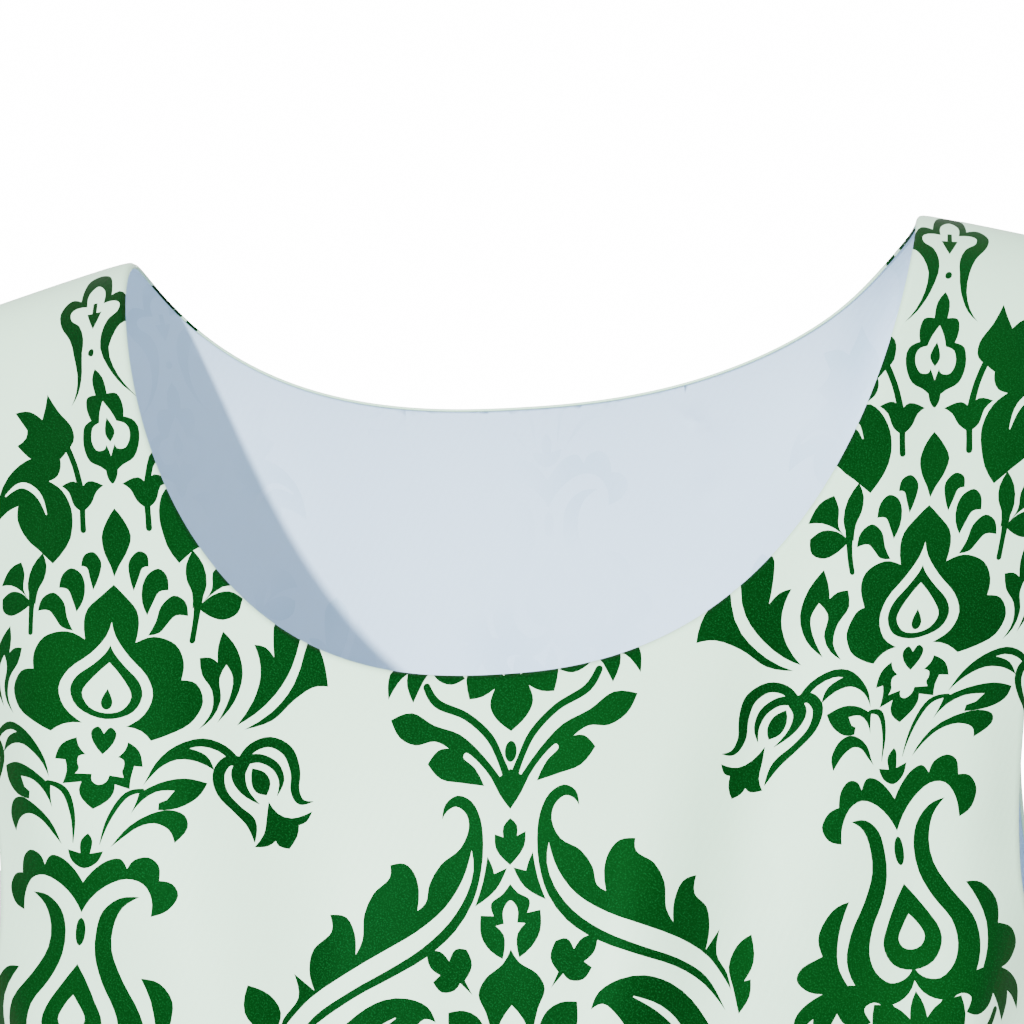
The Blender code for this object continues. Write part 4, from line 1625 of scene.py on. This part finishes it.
def link_object(name: str, mesh: bpy.types.Mesh) -> bpy.types.Object:
    """Puts a mesh in the scene as an object at the origin.

    Args:
        name: The object's name.
        mesh: The mesh.

    Returns:
        The object.
    """
    obj = bpy.data.objects.new(name, mesh)
    bpy.context.scene.collection.objects.link(obj)
    return obj


# The finishes.


class Shader:
    """A material's node tree, with short ways to add nodes."""

    def __init__(self, name: str, colour: Triple, roughness: float) -> None:
        """Starts a material.

        Args:
            name: The material's name.
            colour: Its plain colour, linear.
            roughness: Its roughness.
        """
        self.material = bpy.data.materials.new(name)
        self.material.use_nodes = True
        self.material.diffuse_color = (*colour, 1.0)
        self.tree = self.material.node_tree
        self.surface = self.tree.nodes["Principled BSDF"]
        self.set("Base Color", (*colour, 1.0))
        self.set("Roughness", roughness)

    def set(self, socket: str, value: float | Knot) -> None:
        """Sets a socket of the surface."""
        self.surface.inputs[socket].default_value = value

    def join(self, output: Socket, target: Socket) -> None:
        """Links two sockets."""
        self.tree.links.new(output, target)

    def add(self, kind: str, **settings: str) -> Node:
        """Adds a node.

        Args:
            kind: The node's type, without ShaderNode.
            settings: Its properties.

        Returns:
            The node.
        """
        node = self.tree.nodes.new("ShaderNode" + kind)
        for name, value in settings.items():
            setattr(node, name, value)
        return node

    def pattern(self, turn: float = 0.0) -> Socket:
        """The flat pattern's coordinates in metres, turned.

        Args:
            turn: The angle they are turned by, in degrees.

        Returns:
            The output socket.
        """
        source = self.add("UVMap", uv_map="pattern")
        mapping = self.add("Mapping")
        mapping.inputs["Rotation"].default_value = (0.0, 0.0, math.radians(turn))
        self.join(source.outputs["UV"], mapping.inputs["Vector"])
        return mapping.outputs["Vector"]

    def noise(self, vector: Socket, scale: float, detail: float) -> Socket:
        """Adds a noise.

        Args:
            vector: The coordinates that it lies on.
            scale: How fine it is, in steps a metre.
            detail: How many finer steps it has.

        Returns:
            Its factor's socket.
        """
        node = self.add("TexNoise")
        node.inputs["Scale"].default_value = scale
        node.inputs["Detail"].default_value = detail
        self.join(vector, node.inputs["Vector"])
        return node.outputs["Fac"]

    def ramp(self, factor: Socket, stops: tuple[tuple[float, Triple], ...]) -> Socket:
        """Colours a factor.

        Args:
            factor: The socket to read.
            stops: Positions and linear colours.

        Returns:
            The colour socket.
        """
        node = self.add("ValToRGB")
        elements = node.color_ramp.elements
        while len(elements) < len(stops):
            elements.new(0.5)
        for element, (position, colour) in zip(elements, stops):
            element.position = position
            element.color = (*colour, 1.0)
        self.join(factor, node.inputs["Fac"])
        return node.outputs["Color"]

    def mix(self, factor: Socket, first: Socket | Triple, second: Triple) -> Socket:
        """Mixes two colours.

        Args:
            factor: The share of the second one.
            first: A socket or a linear colour.
            second: A linear colour.

        Returns:
            The colour's socket.
        """
        node = self.add("Mix", data_type="RGBA")
        self.join(factor, node.inputs[0])
        if isinstance(first, Socket):
            self.join(first, node.inputs[6])
        else:
            node.inputs[6].default_value = (*first, 1.0)
        node.inputs[7].default_value = (*second, 1.0)
        return node.outputs[2]

    def span(self, factor: Socket, low: float, high: float, start: float = 0.0,
             end: float = 1.0) -> Socket:
        """Maps a factor from one range to another.

        Args:
            factor: The socket to read.
            low: The result at the start.
            high: The result at the end.
            start: Where the range that is read starts.
            end: Where it ends.

        Returns:
            The result's socket.
        """
        node = self.add("MapRange")
        for name, value in (("From Min", start), ("From Max", end), ("To Min", low),
                            ("To Max", high)):
            node.inputs[name].default_value = value
        self.join(factor, node.inputs["Value"])
        return node.outputs["Result"]

    def bump(self, height: Socket, strength: float, distance: float,
             below: Socket | None = None) -> Socket:
        """Raises the surface by a height.

        Args:
            height: The socket to read.
            strength: The share of the effect.
            distance: The height of a full step, in metres.
            below: The normal of an earlier bump.

        Returns:
            The normal socket.
        """
        node = self.add("Bump")
        node.inputs["Strength"].default_value = strength
        node.inputs["Distance"].default_value = distance
        self.join(height, node.inputs["Height"])
        if below is not None:
            self.join(below, node.inputs["Normal"])
        return node.outputs["Normal"]


@dataclass(frozen=True)
class TwillFinish:
    """Smooth polyester twill: fine diagonal ribs, small slubs, a soft shine, and painted light in its
    colour: broad painted shade and sheen bands and small painted glints.
    """

    WAVE_SHARE = 0.314

    name: str
    colour: Triple
    painted_light_band: Triple
    roughness: float
    sheen: float
    painted_glint: Triple
    painted_glint_share: float
    gloss: float = 0.30
    gloss_tint: Triple = (1.0, 1.0, 1.0)
    rib_pitch: float = 0.00042
    rib_height: float = 0.000035
    rib_turn: float = 28.0
    thread_turn: float = 45.0
    slub_height: float = 0.00012
    gloss_spread: float = 0.08
    show_through: Triple = (0.0, 0.0, 0.0)

    def material(self) -> bpy.types.Material:
        """Builds the finish.

        Returns:
            The material.
        """
        shader = Shader(self.name, self.colour, self.roughness)
        shader.set("Sheen Weight", self.sheen)
        shader.set("Sheen Roughness", 0.45)
        shader.set("Specular IOR Level", self.gloss)
        shader.set("Specular Tint", (*self.gloss_tint, 1.0))
        # Broad noise mixes in painted light: darker bands on the ground and wrong side are painted fold
        # shade, and lighter bands on the green are painted sheen.
        broad = shader.noise(shader.pattern(), 9.0, 2.0)
        base = shader.mix(shader.span(broad, 0.0, 1.0, 0.34, 0.70), self.colour, self.painted_light_band)
        threads = shader.noise(shader.pattern(self.thread_turn), 2300.0, 1.0)
        # Small light specks on the threads are painted glints of the twill's floats.
        painted_glint_mask = shader.span(threads, 0.0, self.painted_glint_share, 0.52, 0.72)
        base = shader.mix(painted_glint_mask, base, self.painted_glint)
        if any(self.show_through):
            behind = shader.add("Attribute", attribute_name="show_through")
            faint = shader.noise(shader.pattern(), 16.0, 1.0)
            amount = shader.add("Math", operation="MULTIPLY")
            shader.join(behind.outputs["Fac"], amount.inputs[0])
            shader.join(shader.span(faint, 0.05, 1.0, 0.42, 0.60), amount.inputs[1])
            base = shader.mix(amount.outputs[0], base, self.show_through)
        shader.join(base, shader.surface.inputs["Base Color"])
        ribs = shader.add("TexWave", wave_type="BANDS", bands_direction="X", wave_profile="SIN")
        ribs.inputs["Scale"].default_value = self.WAVE_SHARE / (self.rib_pitch * 2.0 * math.pi)
        ribs.inputs["Distortion"].default_value = 0.6
        ribs.inputs["Detail Scale"].default_value = 3.0
        shader.join(shader.pattern(self.rib_turn), ribs.inputs["Vector"])
        weave = shader.bump(ribs.outputs["Fac"], 0.5, self.rib_height)
        slubs = shader.noise(shader.pattern(), 420.0, 3.0)
        relief = shader.bump(slubs, 0.35, self.slub_height, weave)
        shader.join(relief, shader.surface.inputs["Normal"])
        glint = shader.span(threads, self.roughness - self.gloss_spread,
                            self.roughness + self.gloss_spread)
        shader.join(glint, shader.surface.inputs["Roughness"])
        return shader.material


# Each finish's second colour is painted light in broad bands, and its lighter speckle colour is a
# painted glint.
GROUND_FINISH = TwillFinish("printed_twill_ground", (0.55, 0.835, 0.61), (0.50, 0.78, 0.565),
                            0.46, 0.05, (0.66, 0.89, 0.70), 0.30)
PRINT_FINISH = TwillFinish("printed_twill_green", (0.0008, 0.0160, 0.0018),
                           (0.0014, 0.0260, 0.0032), 0.48, 0.0, (0.008, 0.088, 0.020), 0.50,
                           gloss=0.045, gloss_tint=(0.10, 1.0, 0.24))
WRONG_SIDE_FINISH = TwillFinish("twill_wrong_side", (0.56, 0.735, 0.92), (0.52, 0.69, 0.88),
                                0.60, 0.05, (0.62, 0.78, 0.93), 0.25,
                                show_through=(0.46, 0.645, 0.82))


@dataclass(frozen=True)
class ThreadFinish:
    """Twisted polyester thread: fine slanting ply lines, drawn as painted shade in the grooves between
    plies, and a soft shine.
    """

    name: str = "sewing_thread"
    colour: Triple = (0.62, 0.80, 0.68)
    painted_groove_shade: Triple = (0.50, 0.66, 0.56)
    roughness: float = 0.48

    def material(self) -> bpy.types.Material:
        """Builds the finish.

        Returns:
            The material.
        """
        shader = Shader(self.name, self.colour, self.roughness)
        place = shader.add("TexCoord")
        ply = shader.add("TexWave", wave_type="BANDS", bands_direction="DIAGONAL")
        ply.inputs["Scale"].default_value = 900.0
        ply.inputs["Distortion"].default_value = 1.0
        shader.join(place.outputs["Object"], ply.inputs["Vector"])
        fuzz = shader.noise(place.outputs["Object"], 1800.0, 2.0)
        # The darker ply bands are painted shade in the thread's grooves.
        tint = shader.mix(ply.outputs["Fac"], self.painted_groove_shade, self.colour)
        shader.join(tint, shader.surface.inputs["Base Color"])
        gloss = shader.span(fuzz, self.roughness - 0.1, self.roughness + 0.12)
        shader.join(gloss, shader.surface.inputs["Roughness"])
        relief = shader.bump(ply.outputs["Fac"], 0.6, 0.00006)
        shader.join(relief, shader.surface.inputs["Normal"])
        return shader.material


# The studio, and the dress as a whole.


@dataclass(frozen=True)
class Studio:
    """The pale floor, the light and the camera."""

    floor_height: float = -1.36
    floor_radius: float = 22.0
    eye: Triple = (0.09295, -1.34667, -0.12)
    target: Triple = (-0.00467, -0.05033, -0.08814)
    yaw: float = 4.1
    roll: float = -3.04
    lens: float = 148.7
    surround: float = 1.70
    surround_beside: float = 0.25
    backdrop: float = 16.0
    backdrop_reach: float = 11.0
    backdrop_fade: float = 4.0
    key_strength: float = 8.6
    key_spread: float = 1.2
    key_aside: float = 10.5
    key_above: float = 7.0

    def build(self) -> None:
        """Builds the floor, the world, the lights and the camera."""
        self.lay_floor()
        self.light_world()
        self.hang_key()
        self.set_camera()

    def lay_floor(self) -> None:
        """Lays a round pale floor."""
        turns = np.linspace(0.0, 2 * math.pi, 65)[:-1]
        ring = np.stack([np.cos(turns), np.sin(turns), np.zeros(len(turns))], axis=1) * self.floor_radius
        points = np.concatenate([ring, [[0.0, 0.0, 0.0]]]) + (0.0, 0.0, self.floor_height)
        count = len(turns)
        faces = [[index, (index + 1) % count, count] for index in range(count)]
        floor = link_object("floor", make_mesh("floor", points, faces))
        shader = Shader("pale_floor", (0.80, 0.80, 0.80), 0.65)
        place = shader.add("TexCoord")
        grain = shader.noise(place.outputs["Object"], 3.0, 4.0)
        tint = shader.ramp(grain, ((0.3, (0.78, 0.78, 0.78)), (0.7, (0.82, 0.82, 0.82))))
        shader.join(tint, shader.surface.inputs["Base Color"])
        floor.data.materials.append(shader.material)

    def light_world(self) -> None:
        """Surrounds the dress with even light, and a bright round backdrop behind it."""
        world = bpy.data.worlds.new("studio_surround")
        bpy.context.scene.world = world
        world.use_nodes = True
        tree = world.node_tree
        background = tree.nodes["Background"]
        background.inputs["Color"].default_value = (1.0, 1.0, 1.0, 1.0)
        place = tree.nodes.new("ShaderNodeTexCoord")
        towards = tree.nodes.new("ShaderNodeVectorMath")
        towards.operation = "DOT_PRODUCT"
        towards.inputs[1].default_value = (Vector(self.target) - Vector(self.eye)).normalized()
        fade = tree.nodes.new("ShaderNodeMapRange")
        fade.interpolation_type = "SMOOTHSTEP"
        outer = self.backdrop_reach + self.backdrop_fade
        for name, value in (("From Min", math.cos(math.radians(outer))),
                            ("From Max", math.cos(math.radians(self.backdrop_reach))),
                            ("To Max", self.backdrop)):
            fade.inputs[name].default_value = value
        split, square, dim = (tree.nodes.new(kind) for kind in (
            "ShaderNodeSeparateXYZ", "ShaderNodeMath", "ShaderNodeMath"))
        square.operation, dim.operation = "MULTIPLY", "MULTIPLY_ADD"
        dim.inputs[1].default_value = self.surround_beside - self.surround
        dim.inputs[2].default_value = self.surround
        tree.links.new(place.outputs["Generated"], split.inputs["Vector"])
        for socket in (0, 1):
            tree.links.new(split.outputs["X"], square.inputs[socket])
        tree.links.new(square.outputs["Value"], dim.inputs[0])
        tree.links.new(dim.outputs["Value"], fade.inputs["To Min"])
        tree.links.new(place.outputs["Generated"], towards.inputs[0])
        tree.links.new(towards.outputs["Value"], fade.inputs["Value"])
        tree.links.new(fade.outputs["Result"], background.inputs["Strength"])

    def hang_key(self) -> None:
        """Hangs the key lamp beside and above the camera, on its left."""
        lamp = bpy.data.lights.new("key", "SUN")
        lamp.energy = self.key_strength
        lamp.angle = math.radians(self.key_spread)
        aside = math.radians(self.yaw - self.key_aside)
        above = math.radians(self.key_above)
        towards = Vector((math.sin(aside) * math.cos(above), -math.cos(aside) * math.cos(above),
                          math.sin(above)))
        obj = bpy.data.objects.new("key", lamp)
        obj.rotation_mode = "QUATERNION"
        obj.rotation_quaternion = towards.to_track_quat("Z", "Y")
        bpy.context.scene.collection.objects.link(obj)

    def set_camera(self) -> None:
        """Stands the camera at the photograph's viewing angle."""
        camera = bpy.data.cameras.new("camera")
        camera.lens = self.lens
        camera.sensor_width = 36.0
        camera.clip_start, camera.clip_end = 0.05, 200.0
        eye, target = Vector(self.eye), Vector(self.target)
        yaw, roll = math.radians(self.yaw), math.radians(self.roll)
        level = Vector((math.cos(yaw), math.sin(yaw), 0.0))
        lifted = level * -math.sin(roll) + Vector((0.0, 0.0, 1.0)) * math.cos(roll)
        forward = (target - eye).normalized()
        right = forward.cross(lifted).normalized()
        top = right.cross(forward)
        turn = Matrix((right, top, -forward)).transposed().to_4x4()
        obj = bpy.data.objects.new("camera", camera)
        obj.matrix_world = Matrix.Translation(eye) @ turn
        bpy.context.scene.collection.objects.link(obj)
        bpy.context.scene.camera = obj


HEM_STITCHING = Stitching("hem_stitches", 0.0031, 0.0026, 0.00045, 0.00032)
OVERLOCKING = Stitching("overlock_stitches", 0.0021, 0.0034, 0.00055, 0.0026)


class Dress:
    """The dress: two printed panels and the threads that sew them."""

    def __init__(self) -> None:
        """Prepares the finishes and the prints."""
        self.cloth = [finish.material()
                      for finish in (GROUND_FINISH, PRINT_FINISH, WRONG_SIDE_FINISH)]
        self.thread = ThreadFinish().material()
        self.prints = {Side.FRONT: Damask(left=LEFT_SWAY, right=RIGHT_SWAY, sag=3.6),
                       Side.BACK: Damask(axis=1.5)}

    def build(self) -> None:
        """Builds the panels and sews them."""
        hem_rows, seam_rows = [], []
        for cut in PANELS:
            panel = Panel(cut, self.prints[cut.side])
            self.dress_panel(panel)
            hem_rows += panel.hem_rows()
            if cut.side is Side.FRONT:
                seam_rows += panel.seam_rows()
        for stitching, rows in ((HEM_STITCHING, hem_rows), (OVERLOCKING, seam_rows)):
            obj = stitching.sew(rows, self.thread)
            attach(obj, BODY)
            LOG.info("%s: %d faces", obj.name, len(obj.data.polygons))

    def dress_panel(self, panel: Panel) -> None:
        """Builds a panel in place of its CAD node.

        Args:
            panel: The panel.
        """
        obj = panel.build(self.cloth)
        obj.name = panel.cut.name + "_panel"
        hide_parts(panel.cut.name)
        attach(obj, BODY)
        width = 2 * float(panel.form.quarter_at(panel.hem))
        LOG.info("%s: %d faces", obj.name, len(obj.data.polygons))


def main() -> None:
    """Builds the dress and its studio."""
    logging.basicConfig(level=logging.INFO, format="%(name)s: %(message)s", stream=sys.stdout)
    Dress().build()
    Studio().build()


if __name__ == "__main__":
    main()
